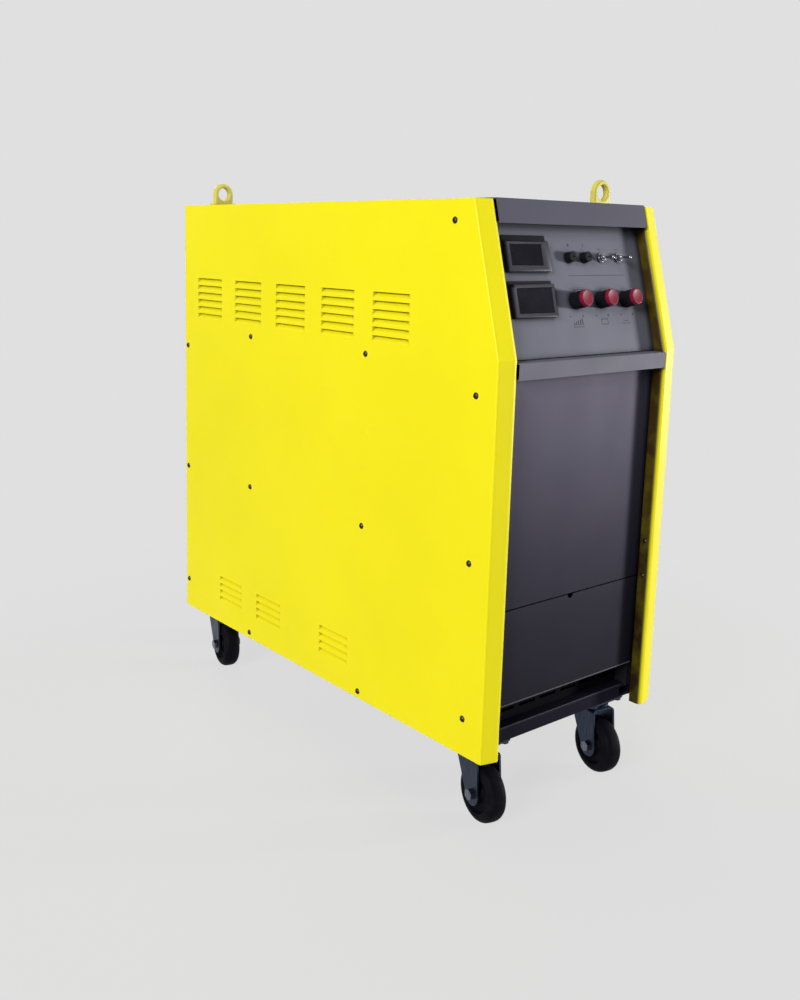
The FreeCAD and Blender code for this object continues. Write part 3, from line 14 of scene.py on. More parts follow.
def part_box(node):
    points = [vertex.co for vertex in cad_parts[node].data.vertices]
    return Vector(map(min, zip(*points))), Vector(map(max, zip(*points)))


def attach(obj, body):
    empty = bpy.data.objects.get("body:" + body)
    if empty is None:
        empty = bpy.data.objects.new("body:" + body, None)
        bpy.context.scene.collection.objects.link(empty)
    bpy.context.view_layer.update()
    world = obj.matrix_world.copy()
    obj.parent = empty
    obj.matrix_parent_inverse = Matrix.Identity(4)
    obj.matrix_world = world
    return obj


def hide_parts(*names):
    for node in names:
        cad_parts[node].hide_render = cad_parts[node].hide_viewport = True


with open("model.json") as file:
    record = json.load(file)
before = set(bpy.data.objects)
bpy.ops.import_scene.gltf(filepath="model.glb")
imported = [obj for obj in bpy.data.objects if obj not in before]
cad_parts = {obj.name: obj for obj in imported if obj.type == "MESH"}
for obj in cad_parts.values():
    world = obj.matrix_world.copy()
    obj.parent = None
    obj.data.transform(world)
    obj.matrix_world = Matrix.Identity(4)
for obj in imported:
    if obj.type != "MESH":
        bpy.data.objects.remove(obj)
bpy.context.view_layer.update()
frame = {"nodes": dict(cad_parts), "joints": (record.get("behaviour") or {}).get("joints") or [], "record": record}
nodes = frame["nodes"]

# %% [markdown]
# The camera stands in front of the left side, at the height of the control panel, where the
# photograph was taken. Its place was solved from the cabinet's straight edges. The object
# could be brought to the middle of the frame by turning the camera, but that would change
# how its edges run together, so a small shift moves the picture and leaves the view alone.

# %% Camera
CAMERA_PLACE = Vector((-1.3447, -1.5391, 0.9387))
CAMERA_TURN = math.radians(-37.71)
CAMERA_TILT = math.radians(10.00)
CAMERA_ROLL = math.radians(1.09)
SENSOR = 36.0
FOCAL_SHARE = 1.0640
SHIFT_ACROSS, SHIFT_UP = 0.0656, -0.0727


def camera_axes():
    back = Vector((math.sin(CAMERA_TURN) * math.cos(CAMERA_TILT),
                   -math.cos(CAMERA_TURN) * math.cos(CAMERA_TILT), math.sin(CAMERA_TILT)))
    right = (-back).cross(Vector((0, 0, 1))).normalized()
    up = right.cross(-back)
    c, s = math.cos(CAMERA_ROLL), math.sin(CAMERA_ROLL)
    return right * c + up * s, up * c - right * s, back


right, up, back = camera_axes()
camera_data = bpy.data.cameras.new("camera")
camera_data.sensor_width = SENSOR
camera_data.lens = SENSOR * FOCAL_SHARE
camera_data.shift_x = SHIFT_ACROSS
camera_data.shift_y = SHIFT_UP
camera = bpy.data.objects.new("camera", camera_data)
camera.matrix_world = Matrix((
    (right.x, up.x, back.x, CAMERA_PLACE.x),
    (right.y, up.y, back.y, CAMERA_PLACE.y),
    (right.z, up.z, back.z, CAMERA_PLACE.z),
    (0, 0, 0, 1)))
bpy.context.scene.collection.objects.link(camera)
bpy.context.scene.camera = camera
print("camera lens", round(camera_data.lens, 2))

# %% [markdown]
# Paint, plastic and metal all start from the same node tree: a Principled shader whose normal
# comes from a Bevel node, so that folded and cut edges catch a thin line of light, and from
# fine noise, so that no surface is perfectly flat. Colour and roughness drift a little too.
# A small class keeps the tree and the few ways in which this script adds to it.

# %% Material helpers
class Finish:
    """A material with its node tree and a few ways to add to it."""

    def __init__(self, name):
        self.material = bpy.data.materials.new(name)
        self.material.use_nodes = True
        self.tree = self.material.node_tree
        self.tree.nodes.clear()
        self.shader = self.add("ShaderNodeBsdfPrincipled")
        self.output = self.add("ShaderNodeOutputMaterial")
        self.link(self.shader.outputs["BSDF"], self.output.inputs["Surface"])
        self.place = self.add("ShaderNodeTexCoord").outputs["Object"]

    def add(self, kind, **settings):
        """A new node with its settings."""
        node = self.tree.nodes.new(kind)
        for key, value in settings.items():
            setattr(node, key, value)
        return node

    def link(self, source, target):
        self.tree.links.new(source, target)

    def colour(self):
        """The socket that feeds the shader's colour so far."""
        return self.shader.inputs["Base Color"].links[0].from_socket

    def recolour(self, source):
        """Feed the shader's colour from another socket."""
        self.link(source, self.shader.inputs["Base Color"])

    def along(self, axis):
        """A point's own X, Y or Z on the object."""
        split = self.add("ShaderNodeSeparateXYZ")
        self.link(self.place, split.inputs["Vector"])
        return split.outputs[axis]

    def noise(self, scale, detail=3.0, roughness=0.55, stretch=None):
        """A noise pattern in object coordinates, stretched along an axis if asked."""
        pattern = self.add("ShaderNodeTexNoise")
        pattern.inputs["Scale"].default_value = scale
        pattern.inputs["Detail"].default_value = detail
        pattern.inputs["Roughness"].default_value = roughness
        place = self.place
        if stretch:
            mapping = self.add("ShaderNodeMapping")
            mapping.inputs["Scale"].default_value = stretch
            self.link(self.place, mapping.inputs["Vector"])
            place = mapping.outputs["Vector"]
        self.link(place, pattern.inputs["Vector"])
        return pattern.outputs["Fac"]

    def ramp(self, value, stops):
        """A colour ramp from (position, colour) stops."""
        node = self.add("ShaderNodeValToRGB")
        elements = node.color_ramp.elements
        while len(elements) < len(stops):
            elements.new(1.0)
        for element, (position, colour) in zip(elements, stops):
            element.position = position
            element.color = (*colour, 1.0)
        self.link(value, node.inputs["Fac"])
        return node.outputs["Color"]

    def spread(self, value, low, high, start=0.3, end=0.7):
        """A value between start and end, mapped to one between low and high."""
        node = self.add("ShaderNodeMapRange")
        node.inputs["From Min"].default_value = start
        node.inputs["From Max"].default_value = end
        node.inputs["To Min"].default_value = low
        node.inputs["To Max"].default_value = high
        self.link(value, node.inputs["Value"])
        return node.outputs["Result"]

    def blend(self, share, first, second, mode="MIX"):
        """Two colours mixed by a share, each a socket or a plain colour."""
        node = self.add("ShaderNodeMix", data_type="RGBA", blend_type=mode)
        for socket, value in (("Factor", share), ("A", first), ("B", second)):
            target = next(i for i in node.inputs if i.name == socket and i.enabled)
            if isinstance(value, bpy.types.NodeSocket):
                self.link(value, target)
            elif socket == "Factor":
                target.default_value = value
            else:
                target.default_value = (*value, 1.0)
        return next(o for o in node.outputs if o.enabled)

    def multiply(self, first, second):
        """Two colours multiplied."""
        return self.blend(1.0, first, second, "MULTIPLY")

    def calculate(self, operation, first, second):
        """A sum on two sockets, kept between 0 and 1."""
        node = self.add("ShaderNodeMath", operation=operation, use_clamp=True)
        self.link(first, node.inputs[0])
        self.link(second, node.inputs[1])
        return node.outputs["Value"]

    def soft_normal(self, radius):
        """The normal that the surface would have if its edges were rounded."""
        soft = self.add("ShaderNodeBevel", samples=4)
        soft.inputs["Radius"].default_value = radius
        return soft.outputs["Normal"]

    def surface(self, height, strength, distance, rounding):
        """Bump from a height pattern over softly rounded edges."""
        bump = self.add("ShaderNodeBump")
        bump.inputs["Strength"].default_value = strength
        bump.inputs["Distance"].default_value = distance
        self.link(height, bump.inputs["Height"])
        self.link(self.soft_normal(rounding), bump.inputs["Normal"])
        self.link(bump.outputs["Normal"], self.shader.inputs["Normal"])

    def edges(self, radius, start, end):
        """How near a point lies to an edge, from 0 on a flat to 1 on the edge itself."""
        plain = self.add("ShaderNodeNewGeometry")
        turn = self.add("ShaderNodeVectorMath", operation="DOT_PRODUCT")
        self.link(self.soft_normal(radius), turn.inputs[0])
        self.link(plain.outputs["Normal"], turn.inputs[1])
        return self.spread(turn.outputs["Value"], 1.0, 0.0, start, end)


def shade(colour, share):
    return tuple(min(1.0, c * share) for c in colour)


print("helpers ready")

# %% [markdown]
# The cabinet is powder coated. Such paint has a faint orange-peel texture about a millimetre
# across, drifts slightly in tone over large sheets, and rubs through at the sheets' edges
# first. Each effect is one noise pattern at its own scale, which fits a sheet of any size
# and needs no unwrapping. The same recipe serves every painted piece.

# %% Painted sheet
DRIFT_SCALE, SPECK_SCALE, CHIP_SCALE, GLOSS_SCALE, PEEL_SCALE = 2.2, 60.0, 95.0, 14.0, 700.0
TONE_LOW, TONE_HIGH = 0.955, 1.03
SPECK_SHARE, SPECK_SHADE = 0.10, 0.6
PEEL_STRENGTH, PEEL_HEIGHT = 0.10, 0.0004
RIM_REACH, RIM_START, RIM_END = 0.0012, 0.90, 0.985
EDGE_ROUNDING = 0.0007
WARM_PRIMER = (0.10, 0.09, 0.08)


def painted(name, colour, gloss, wear=0.25, under=WARM_PRIMER, sheen=0.5, rubbed=0.0):
    """Powder coat: wear is how far its rims chip, rubbed how far they are bare all along."""
    finish = Finish(name)
    finish.shader.inputs["Specular IOR Level"].default_value = sheen
    drift = finish.noise(DRIFT_SCALE, detail=4.0)
    tone = finish.ramp(drift, [(0.30, shade(colour, TONE_LOW)),
                               (0.70, shade(colour, TONE_HIGH))])
    specks = finish.spread(finish.noise(SPECK_SCALE, 6.0, 0.7), 0.0, SPECK_SHARE, 0.60, 0.80)
    tone = finish.blend(specks, tone, shade(colour, SPECK_SHADE))
    rim = finish.edges(RIM_REACH, RIM_START, RIM_END)
    chips = finish.spread(finish.noise(CHIP_SCALE, 5.0, 0.65), rubbed, max(rubbed, wear),
                          0.56, 0.64)
    tone = finish.blend(finish.calculate("MULTIPLY", rim, chips), tone, under)
    finish.recolour(tone)
    rough = finish.spread(finish.noise(GLOSS_SCALE, detail=4.0), gloss - 0.05, gloss + 0.08)
    finish.link(rough, finish.shader.inputs["Roughness"])
    finish.surface(finish.noise(PEEL_SCALE, detail=2.0), PEEL_STRENGTH, PEEL_HEIGHT,
                   EDGE_ROUNDING)
    return finish


yellow_paint = painted("yellow_powder_coat", (0.905, 0.800, 0.007), 0.40, sheen=0.2)
top_paint = painted("dark_grey_top_paint", (0.081, 0.079, 0.109), 0.55, sheen=0.12)
panel_paint = painted("grey_console_paint", (0.148, 0.151, 0.192), 0.60, wear=0.1, sheen=0.12)
bar_paint = painted("light_grey_bar_paint", (0.146, 0.142, 0.181), 0.62, wear=0.15, sheen=0.1)
# its rims are rubbed bright all along: partly wear, partly a painted highlight on the base's lit edges
black_paint = painted("black_base_paint", (0.009, 0.008, 0.015), 0.60, wear=0.6,
                      under=(0.09, 0.09, 0.12), sheen=0.03, rubbed=0.5)
frame_paint = painted("black_frame_paint", (0.012, 0.011, 0.016), 0.55, sheen=0.05)
# near-black: the grille's black paint and painted shade of the intake recess behind it
grille_and_shade_paint = painted("black_grille_and_shade_paint", (0.004, 0.004, 0.006), 0.70, wear=0.05, sheen=0.02)
eye_paint = painted("yellow_eye_paint", (0.610, 0.545, 0.100), 0.45, wear=0.7,
                    under=(0.12, 0.10, 0.04), sheen=0.2, rubbed=0.2)
front_paint = painted("front_panel_paint", (0.140, 0.134, 0.178), 0.60, wear=0.1, sheen=0.05)
print("the covers are in", yellow_paint.material.name)

# %% [markdown]
# Painted shade darkens the corners that little light gets into: in the louvres, and along
# the console and the front panels where they meet a bar or a lip. It could be painted by hand in
# each corner, but an Ambient Occlusion node finds all such hollows from the shape alone.

# %% Painted shade in the corners
# reach in metres, how open a place is where the painted shade is full and where it ends, and its tint
LOUVRE_CORNER_SHADE = (0.009, 0.34, 0.80, (0.08, 0.055, 0.5))
PANEL_CORNER_SHADE = (0.016, 0.52, 0.90, (0.16, 0.16, 0.20))


def paint_corner_shade(finish, reach, closed, opened, tint):
    """Paint shade into hollows narrower than a reach, by multiplying a finish's colour by a tint."""
    hollow = finish.add("ShaderNodeAmbientOcclusion", samples=8)
    hollow.inputs["Distance"].default_value = reach
    shade_share = finish.spread(hollow.outputs["AO"], 1.0, 0.0, closed, opened)
    clean = finish.colour()
    finish.recolour(finish.blend(shade_share, clean, finish.multiply(clean, tint)))


# painted shade in the louvres' hollows and in the console's corners
paint_corner_shade(yellow_paint, *LOUVRE_CORNER_SHADE)
paint_corner_shade(panel_paint, *PANEL_CORNER_SHADE)
print("grime reaches", LOUVRE_CORNER_SHADE[0], "m in louvres and", PANEL_CORNER_SHADE[0], "m on the front")

# %% [markdown]
# Painted shade also darkens the lips where the yellow sheets fold back beside the panels,
# in the shade of the recess. The lips are the only yellow faces that lie this near the middle,
# so the distance from the middle finds them. The painted shade is deeper at the foot, and a
# little patchy.

# %% Painted shade on the lips
LIP_PLACE = 0.1765
LIP_START, LIP_END = LIP_PLACE + 0.0006, LIP_PLACE + 0.0040
LIP_FOOT, LIP_HEAD = 0.25, 0.85
FOOT_LIP_SHADE, HEAD_LIP_SHADE = (0.015, 0.009, 0.2), (0.045, 0.028, 0.35)
PATCH_SCALE, PATCH_SHARE = 30.0, 0.05

# painted shade on the lips, deeper towards the foot
across = yellow_paint.add("ShaderNodeMath", operation="ABSOLUTE")
yellow_paint.link(yellow_paint.along("X"), across.inputs[0])
past_lip = yellow_paint.spread(across.outputs["Value"], 0.0, 1.0, LIP_START, LIP_END)
patchy = yellow_paint.spread(yellow_paint.noise(PATCH_SCALE, detail=5.0), 0.0, PATCH_SHARE,
                             0.4, 0.7)
rise = yellow_paint.spread(yellow_paint.along("Z"), 0.0, 1.0, LIP_FOOT, LIP_HEAD)
unshaded_yellow = yellow_paint.colour()
shaded_lip_colour = yellow_paint.multiply(unshaded_yellow, yellow_paint.blend(rise, FOOT_LIP_SHADE, HEAD_LIP_SHADE))
lip_colour = yellow_paint.blend(patchy, shaded_lip_colour, unshaded_yellow)
yellow_paint.recolour(yellow_paint.blend(past_lip, lip_colour, unshaded_yellow))
print("grime on", yellow_paint.material.name, "inside of", LIP_END, "m")

# %% [markdown]
# The two front panels look darker towards the foot, so their paint runs from a mid grey at
# the middle bar to nearly black at the base, along the object's own height. This is partly the
# paint's own darker tone and partly painted shade that deepens towards the foot, with painted
# shade in their corners as on the console. A painted shadow makes them darker still beside the
# right lip, inside that lip's cast shadow. The lamps alone would need to be set so low that the
# yellow covers lost their brightness.

# %% Front panel paint and painted shade
PANEL_FOOT, PANEL_HEAD = 0.20, 0.74
FRONT_SHADE_STOPS = [(0.0, 0.08), (0.24, 0.145), (0.44, 0.28), (0.70, 0.57), (1.0, 1.0)]
SHADE_START, SHADE_END = 0.136, 0.150
SHADE_TINT = (0.38, 0.40, 0.44)

# painted shade: darker and bluer towards the foot
height = front_paint.spread(front_paint.along("Z"), 0.0, 1.0, PANEL_FOOT, PANEL_HEAD)
bluish_shade_stops = [(place, (share, share * 0.96, share ** 0.92)) for place, share in FRONT_SHADE_STOPS]
front_paint.recolour(front_paint.multiply(front_paint.colour(), front_paint.ramp(height, bluish_shade_stops)))
paint_corner_shade(front_paint, *PANEL_CORNER_SHADE)
# painted shadow beside the right lip
in_lip_shadow = front_paint.spread(front_paint.along("X"), 0.0, 1.0, SHADE_START, SHADE_END)
lit_front = front_paint.colour()
front_paint.recolour(front_paint.blend(in_lip_shadow, lit_front,
                                       front_paint.multiply(lit_front, SHADE_TINT)))
print("front panels darken from", PANEL_HEAD, "m down to", PANEL_FOOT, "m")

# %% [markdown]
# Bare steel, brass and aluminium get fine streaks along the way they were drawn or rolled: one
# noise, stretched along an axis, drives both the colour and a very low bump. An anisotropic
# shader gives such streaks too, but only in its highlights, and these parts lie in shade.

# %% Metals
STREAK_LOW, STREAK_HIGH = 0.72, 1.15
STREAK_BUMP, STREAK_HEIGHT, METAL_ROUNDING = 0.05, 0.0003, 0.0005
# how much each axis counts for the pattern: a small share draws it out along that axis
ROLLED, EXTRUDED, EVEN = (1.0, 1.0, 0.12), (1.0, 1.0, 0.05), (1.0, 1.0, 1.0)
LAMINATED, WOUND = (1.0, 0.02, 0.02), (0.03, 0.03, 1.0)


def metal(name, colour, rough, grain=260.0, stretch=ROLLED):
    """Bare metal whose streaks run along the axes that stretch makes small."""
    finish = Finish(name)
    streaks = finish.noise(grain, 4.0, 0.6, stretch)
    finish.recolour(finish.ramp(streaks, [(0.35, shade(colour, STREAK_LOW)),
                                          (0.65, shade(colour, STREAK_HIGH))]))
    finish.shader.inputs["Metallic"].default_value = 1.0
    finish.link(finish.spread(finish.noise(40.0, detail=5.0), rough - 0.08, rough + 0.12),
                finish.shader.inputs["Roughness"])
    finish.surface(streaks, STREAK_BUMP, STREAK_HEIGHT, METAL_ROUNDING)
    return finish


fork_steel = metal("blued_fork_steel", (0.034, 0.048, 0.078), 0.36)
bolt_steel = metal("bright_axle_steel", (0.150, 0.165, 0.205), 0.28)
zinc_steel = metal("zinc_plated_steel", (0.330, 0.350, 0.400), 0.32)
dark_steel = metal("blackened_screw_steel", (0.050, 0.042, 0.036), 0.38, 500.0, EVEN)
core_steel = metal("laminated_core_steel", (0.130, 0.130, 0.140), 0.45, 900.0, LAMINATED)
chrome = metal("nickelled_brass", (0.300, 0.300, 0.330), 0.20, 300.0, EVEN)
aluminium = metal("extruded_aluminium", (0.620, 0.630, 0.650), 0.34, 300.0, EXTRUDED)
stud_brass = metal("stud_brass", (0.620, 0.440, 0.160), 0.30)
winding_copper = metal("varnished_copper", (0.420, 0.140, 0.050), 0.30, 420.0, WOUND)
print("metals ready, the forks in", fork_steel.material.name)

# %% [markdown]
# Plastic has a fine moulded grain and rubber a coarser one, both under a trace of dust. The
# knobs, caps and wheels have one colour all through, so their edges get no worn rim as the
# paint does, and one short recipe does for them all.

# %% Plastic and rubber
DUST_GREY, DUST_SCALE = (0.35, 0.34, 0.33), 45.0
GRAIN_HEIGHT, MOULD_ROUNDING = 0.0003, 0.0005


def moulded(name, colour, rough, grain=1400.0, strength=0.12, dust=0.06, sheen=0.2):
    """Plastic or rubber with a moulded grain and a share of dust."""
    finish = Finish(name)
    finish.shader.inputs["Specular IOR Level"].default_value = sheen
    cloud = finish.spread(finish.noise(DUST_SCALE, 5.0, 0.6), 0.0, dust, 0.45, 0.75)
    finish.recolour(finish.blend(cloud, colour, DUST_GREY))
    finish.link(finish.spread(finish.noise(30.0, detail=4.0), rough - 0.05, rough + 0.08),
                finish.shader.inputs["Roughness"])
    finish.surface(finish.noise(grain), strength, GRAIN_HEIGHT, MOULD_ROUNDING)
    return finish


black_plastic = moulded("black_moulded_plastic", (0.007, 0.007, 0.011), 0.45, dust=0.01,
                        sheen=0.05)
wheel_rubber = moulded("black_wheel_rubber", (0.003, 0.003, 0.005), 0.60, 500.0, 0.20,
                       dust=0.015, sheen=0.04)
red_plastic = moulded("red_cap_plastic", (0.200, 0.006, 0.026), 0.38, 900.0, 0.05, dust=0.01,
                      sheen=0.12)
bezel_plastic = moulded("grey_bezel_plastic", (0.036, 0.033, 0.046), 0.42, 1200.0, 0.10,
                        dust=0.03, sheen=0.1)
board_green = moulded("circuit_board", (0.020, 0.085, 0.040), 0.40, 700.0, 0.10, dust=0.05)
board_brown = moulded("dark_insulating_board", (0.020, 0.014, 0.010), 0.50, 700.0, 0.10,
                      dust=0.03)
# white pointer paint, which also serves as a painted highlight on the knobs' tops
pointer_and_highlight_paint = moulded("white_pointer_and_highlight_paint", (0.62, 0.62, 0.62), 0.5, 900.0, 0.03, dust=0.0)
print_paint = moulded("dark_print", (0.030, 0.030, 0.045), 0.6, 900.0, 0.02, dust=0.0)
print("plastics ready, the wheels in", wheel_rubber.material.name)

# %% [markdown]
# A meter's window is dark smoked plastic. It could be clear, with a dial behind it, but in the
# photograph no dial shows through, so it is a nearly black surface. It is smoother than the
# bezel round it, has no grain, and shows the room as a soft sheen.

# %% Smoked window
WINDOW_SHEEN = 0.04
window_plastic = Finish("smoked_window_plastic")
window_plastic.recolour(window_plastic.ramp(
    window_plastic.noise(25.0), [(0.3, (0.006, 0.006, 0.010)), (0.7, (0.012, 0.011, 0.018))]))
window_plastic.link(window_plastic.spread(window_plastic.noise(18.0, detail=4.0), 0.20, 0.30),
                    window_plastic.shader.inputs["Roughness"])
window_plastic.shader.inputs["Specular IOR Level"].default_value = WINDOW_SHEEN
print("window sheen", WINDOW_SHEEN)

# %% [markdown]
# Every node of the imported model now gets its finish. Its material could be set piece by
# piece, but the record's slot already says what each is made of, so one table does it. The
# few pieces that look different from the rest of their slot are named on their own.

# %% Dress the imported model
SLOT_FINISHES = {
    "yellow_paint": yellow_paint, "top_grey_paint": top_paint, "panel_grey_paint": panel_paint,
    "bar_grey_paint": bar_paint, "front_grey_paint": front_paint, "black_paint": black_paint,
    "frame_paint": frame_paint, "zinc_steel": zinc_steel, "dark_screw": dark_steel,
    "core_steel": core_steel, "chrome": chrome, "aluminium": aluminium, "brass": stud_brass,
    "winding": winding_copper, "black_plastic": black_plastic, "red_plastic": red_plastic,
    "window_plastic": window_plastic, "board": board_green, "wheel_rubber": wheel_rubber,
}
OWN_FINISHES = {"rear_panel": top_paint, "lifting_eyes": eye_paint, "output_board": board_brown,
                "intake_grille": grille_and_shade_paint}
slot_of = {row["node"]: row["material_slot"] for row in frame["record"]["subparts"]}


def finish_of(name):
    if name.startswith("caster_axle_"):
        return bolt_steel
    if name.startswith("caster_"):
        return fork_steel
    return OWN_FINISHES.get(name) or SLOT_FINISHES[slot_of[name]]


for name, node in nodes.items():
    node.data.materials.clear()
    node.data.materials.append(finish_of(name).material)
print("dressed", len(nodes), "nodes")

# %% [markdown]
# The small controls are modelled again, because their moulded edges catch the light. Each is
# made around its own axis, where its sizes are easy to give, and then moved inside its mesh
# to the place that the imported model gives. Its object stays at the origin, unturned, so that
# the patterns of its finish stay where they are when the part is exported.

# %% Modelling helpers
MM = 0.001
SMOOTH_ANGLE = 0.6


def piece_from(mesh, name, finish, smooth_angle=SMOOTH_ANGLE):
    """A new object at the origin from a bmesh, smooth except over sharp corners."""
    data = bpy.data.meshes.new(name)
    mesh.to_mesh(data)
    mesh.free()
    data.shade_smooth()
    data.set_sharp_from_angle(angle=smooth_angle)
    data.materials.append(finish.material)
    piece = bpy.data.objects.new(name, data)
    bpy.context.scene.collection.objects.link(piece)
    return piece


def joint_named(name):
    return next(joint for joint in frame["joints"] if joint["name"] == name)


def round_edges(mesh, edges, amount, segments=3):
    bmesh.ops.bevel(mesh, geom=edges, offset=amount, offset_type="OFFSET", affect="EDGES",
                    segments=segments, profile=0.5, material=-1, clamp_overlap=True)


def level(mesh, z):
    """The edges whose two ends lie at one height."""
    return [e for e in mesh.edges if all(abs(v.co.z - z) < 1e-6 for v in e.verts)]


def block(mesh, size, centre):
    """Add a box of a size, round a centre, to a bmesh."""
    place = Matrix.Translation(centre) @ Matrix.Diagonal((*size, 1.0))
    bmesh.ops.create_cube(mesh, size=1.0, matrix=place)


print("left dial at", joint_named("dial_turn_left")["pos_m"])

# %% [markdown]
# A knob is a black fluted drum with a red disc pressed into its face. Its flutes could be cut
# with a boolean, but it is lighter to start from a cylinder of 72 sides and draw every fourth
# corner in. The disc is a short cylinder with a rounded rim and a face that is slightly sunk.

# %% Knob shapes
KNOB_RADIUS, RED_CAP_RADIUS = 14.0 * MM, 13.2 * MM
KNOB_NEAR, KNOB_FAR, CAP_FAR = -9.0 * MM, 11.0 * MM, 17.0 * MM
FLUTE_STEPS, FLUTE_EVERY, FLUTE_DRAW = 72, 4, 0.93
CAP_STEPS = 64
DRUM_ROUND, CAP_ROUND = 0.8 * MM, 1.4 * MM
CAP_RIM, CAP_SUNK = 1.6 * MM, 0.5 * MM


def cylinder(radius, near, far, sides):
    """A closed cylinder along Z between two heights."""
    made = bmesh.new()
    bmesh.ops.create_cone(made, cap_ends=True, segments=sides, radius1=radius, radius2=radius,
                          depth=far - near)
    bmesh.ops.translate(made, vec=(0, 0, (far + near) / 2), verts=made.verts)
    return made


def knob_drum():
    drum = cylinder(KNOB_RADIUS, KNOB_NEAR, KNOB_FAR, FLUTE_STEPS)
    step = 2 * math.pi / FLUTE_STEPS
    flutes = [v for v in drum.verts
              if round(math.atan2(v.co.y, v.co.x) / step) % FLUTE_EVERY == 0]
    bmesh.ops.scale(drum, vec=(FLUTE_DRAW, FLUTE_DRAW, 1.0), verts=flutes)
    round_edges(drum, level(drum, KNOB_FAR), DRUM_ROUND)
    return drum


def knob_disc():
    disc = cylinder(RED_CAP_RADIUS, KNOB_FAR, CAP_FAR, CAP_STEPS)
    round_edges(disc, level(disc, CAP_FAR), CAP_ROUND, segments=4)
    face = max(disc.faces, key=lambda f: f.calc_center_median().z)
    bmesh.ops.inset_individual(disc, faces=[face], thickness=CAP_RIM, depth=-CAP_SUNK)
    return disc


print("knob of", round(2000 * KNOB_RADIUS, 1), "mm with", FLUTE_STEPS // FLUTE_EVERY, "flutes")

# %% [markdown]
# Each knob stands on its joint and rides the dial's body, so that it turns with the dial. A
# white pointer line is moulded into the side that faces up; it also stands in for the highlight
# along the knob's top, as a painted highlight. It could be painted on by its angle, but a thin
# block that stands a little proud keeps its edges sharp from close by.

# %% Knobs in place
POINTER_SIZE = (1.4 * MM, 0.5 * MM, 15.0 * MM)
POINTER_PLACE = (0, 13.95 * MM, 1.0 * MM)
POINTER_ROUND = 0.15 * MM
KNOB_PARTS = (("knob_", knob_drum, black_plastic, "black_plastic"),
              ("knob_cap_", knob_disc, red_plastic, "red_plastic"))


def joint_frame(name):
    """A matrix whose origin is a joint's place and whose Z is its axis."""
    joint = joint_named(name)
    out = Vector(joint["axis"]).normalized()
    side = Vector((1, 0, 0))
    turn = Matrix((side, out.cross(side), out)).transposed().to_4x4()
    return Matrix.Translation(joint["pos_m"]) @ turn


for side in ("left", "middle", "right"):
    turned_to = joint_frame("dial_turn_" + side)
    for kind, maker, finish, slot in KNOB_PARTS:
        mesh = maker()
        bmesh.ops.transform(mesh, matrix=turned_to, verts=mesh.verts)
        piece = piece_from(mesh, kind + side + "_detail", finish)
        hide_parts(kind + side)
        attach(piece, "dial_" + side)
    line = bmesh.new()
    block(line, POINTER_SIZE, POINTER_PLACE)
    round_edges(line, line.edges[:], POINTER_ROUND, segments=1)
    bmesh.ops.transform(line, matrix=turned_to, verts=line.verts)
    pointer = piece_from(line, "knob_pointer_" + side, pointer_and_highlight_paint)
    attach(pointer, "dial_" + side)
    print("knob", side, "at", [round(v, 4) for v in turned_to.translation])

# %% [markdown]
# The console leans back by 62.8 mm over its height of 235 mm, from the knee where the front
# turns. Whatever sits on its face is modelled flat and then moved there by one matrix, which
# spares the same sum of sines and cosines in every piece.

# %% The console's plane
KNEE_Y, KNEE_Z = -447.0, 768.0
SLOPE = 62.8 / 235.0
LEAN = math.atan(SLOPE)
console_axes = (Vector((1, 0, 0)), Vector((0, math.sin(LEAN), math.cos(LEAN))),
                Vector((0, -math.cos(LEAN), math.sin(LEAN))))


def console_frame(x, up_from_knee):
    """A matrix on the console's face, at a place across and a height above the knee in mm."""
    place = Vector((x, (KNEE_Y + up_from_knee * SLOPE) * MM, (KNEE_Z + up_from_knee) * MM))
    return Matrix.Translation(place) @ Matrix(console_axes).transposed().to_4x4()


print("console leans", round(math.degrees(LEAN), 1), "degrees")

# %% [markdown]
# A meter's bezel is a rounded frame round a sunk window, with its body behind the console. A
# boolean could cut the window out. Three insets of the front face keep cleaner edges: the
# first to the window's surround, the next down a sloping rim, and the last straight down.

# %% Meters
METER_SIZE = (96.0 * MM, 48.0 * MM, 8.0 * MM)
METER_PROUD = METER_SIZE[2]
BEZEL_ROUND, BEZEL_ANGLE = 1.6 * MM, 0.5
METER_BODY, METER_BODY_PLACE = (91.0 * MM, 44.0 * MM, 60.0 * MM), (0, 0, -30.5 * MM)
RIM_STEPS = ((6.0 * MM, 0.0), (1.2 * MM, 0.6 * MM), (0.0, 3.4 * MM))
METER_X = -105.5 * MM
METERS = (("upper", 149.5, (-3.5, 2.5, 70.0, 31.0)), ("lower", 80.5, (2.0, 3.0, 78.0, 38.0)))


def meter_bezel(window):
    """window is its offset across and up from the middle, then its width and height, in mm."""
    bezel = bmesh.new()
    block(bezel, METER_SIZE, (0, 0, METER_PROUD / 2))
    front_edges = [e for e in bezel.edges if max(v.co.z for v in e.verts) > METER_PROUD / 2]
    round_edges(bezel, front_edges, BEZEL_ROUND)
    dx, dz, w, h = (v * MM for v in window)
    face = max(bezel.faces, key=lambda f: (round(f.calc_center_median().z, 6), f.calc_area()))
    middle = face.calc_center_median()
    for grow, deep in RIM_STEPS:
        bmesh.ops.inset_individual(bezel, faces=[face], thickness=0.5 * MM)
        for corner in list(face.verts):
            goal = Vector((dx + math.copysign(w / 2 + grow, corner.co.x - middle.x),
                           dz + math.copysign(h / 2 + grow, corner.co.y - middle.y),
                           METER_PROUD - deep))
            bmesh.ops.translate(bezel, vec=goal - corner.co, verts=[corner])
        middle = face.calc_center_median()
    block(bezel, METER_BODY, METER_BODY_PLACE)
    bmesh.ops.recalc_face_normals(bezel, faces=bezel.faces)
    return bezel


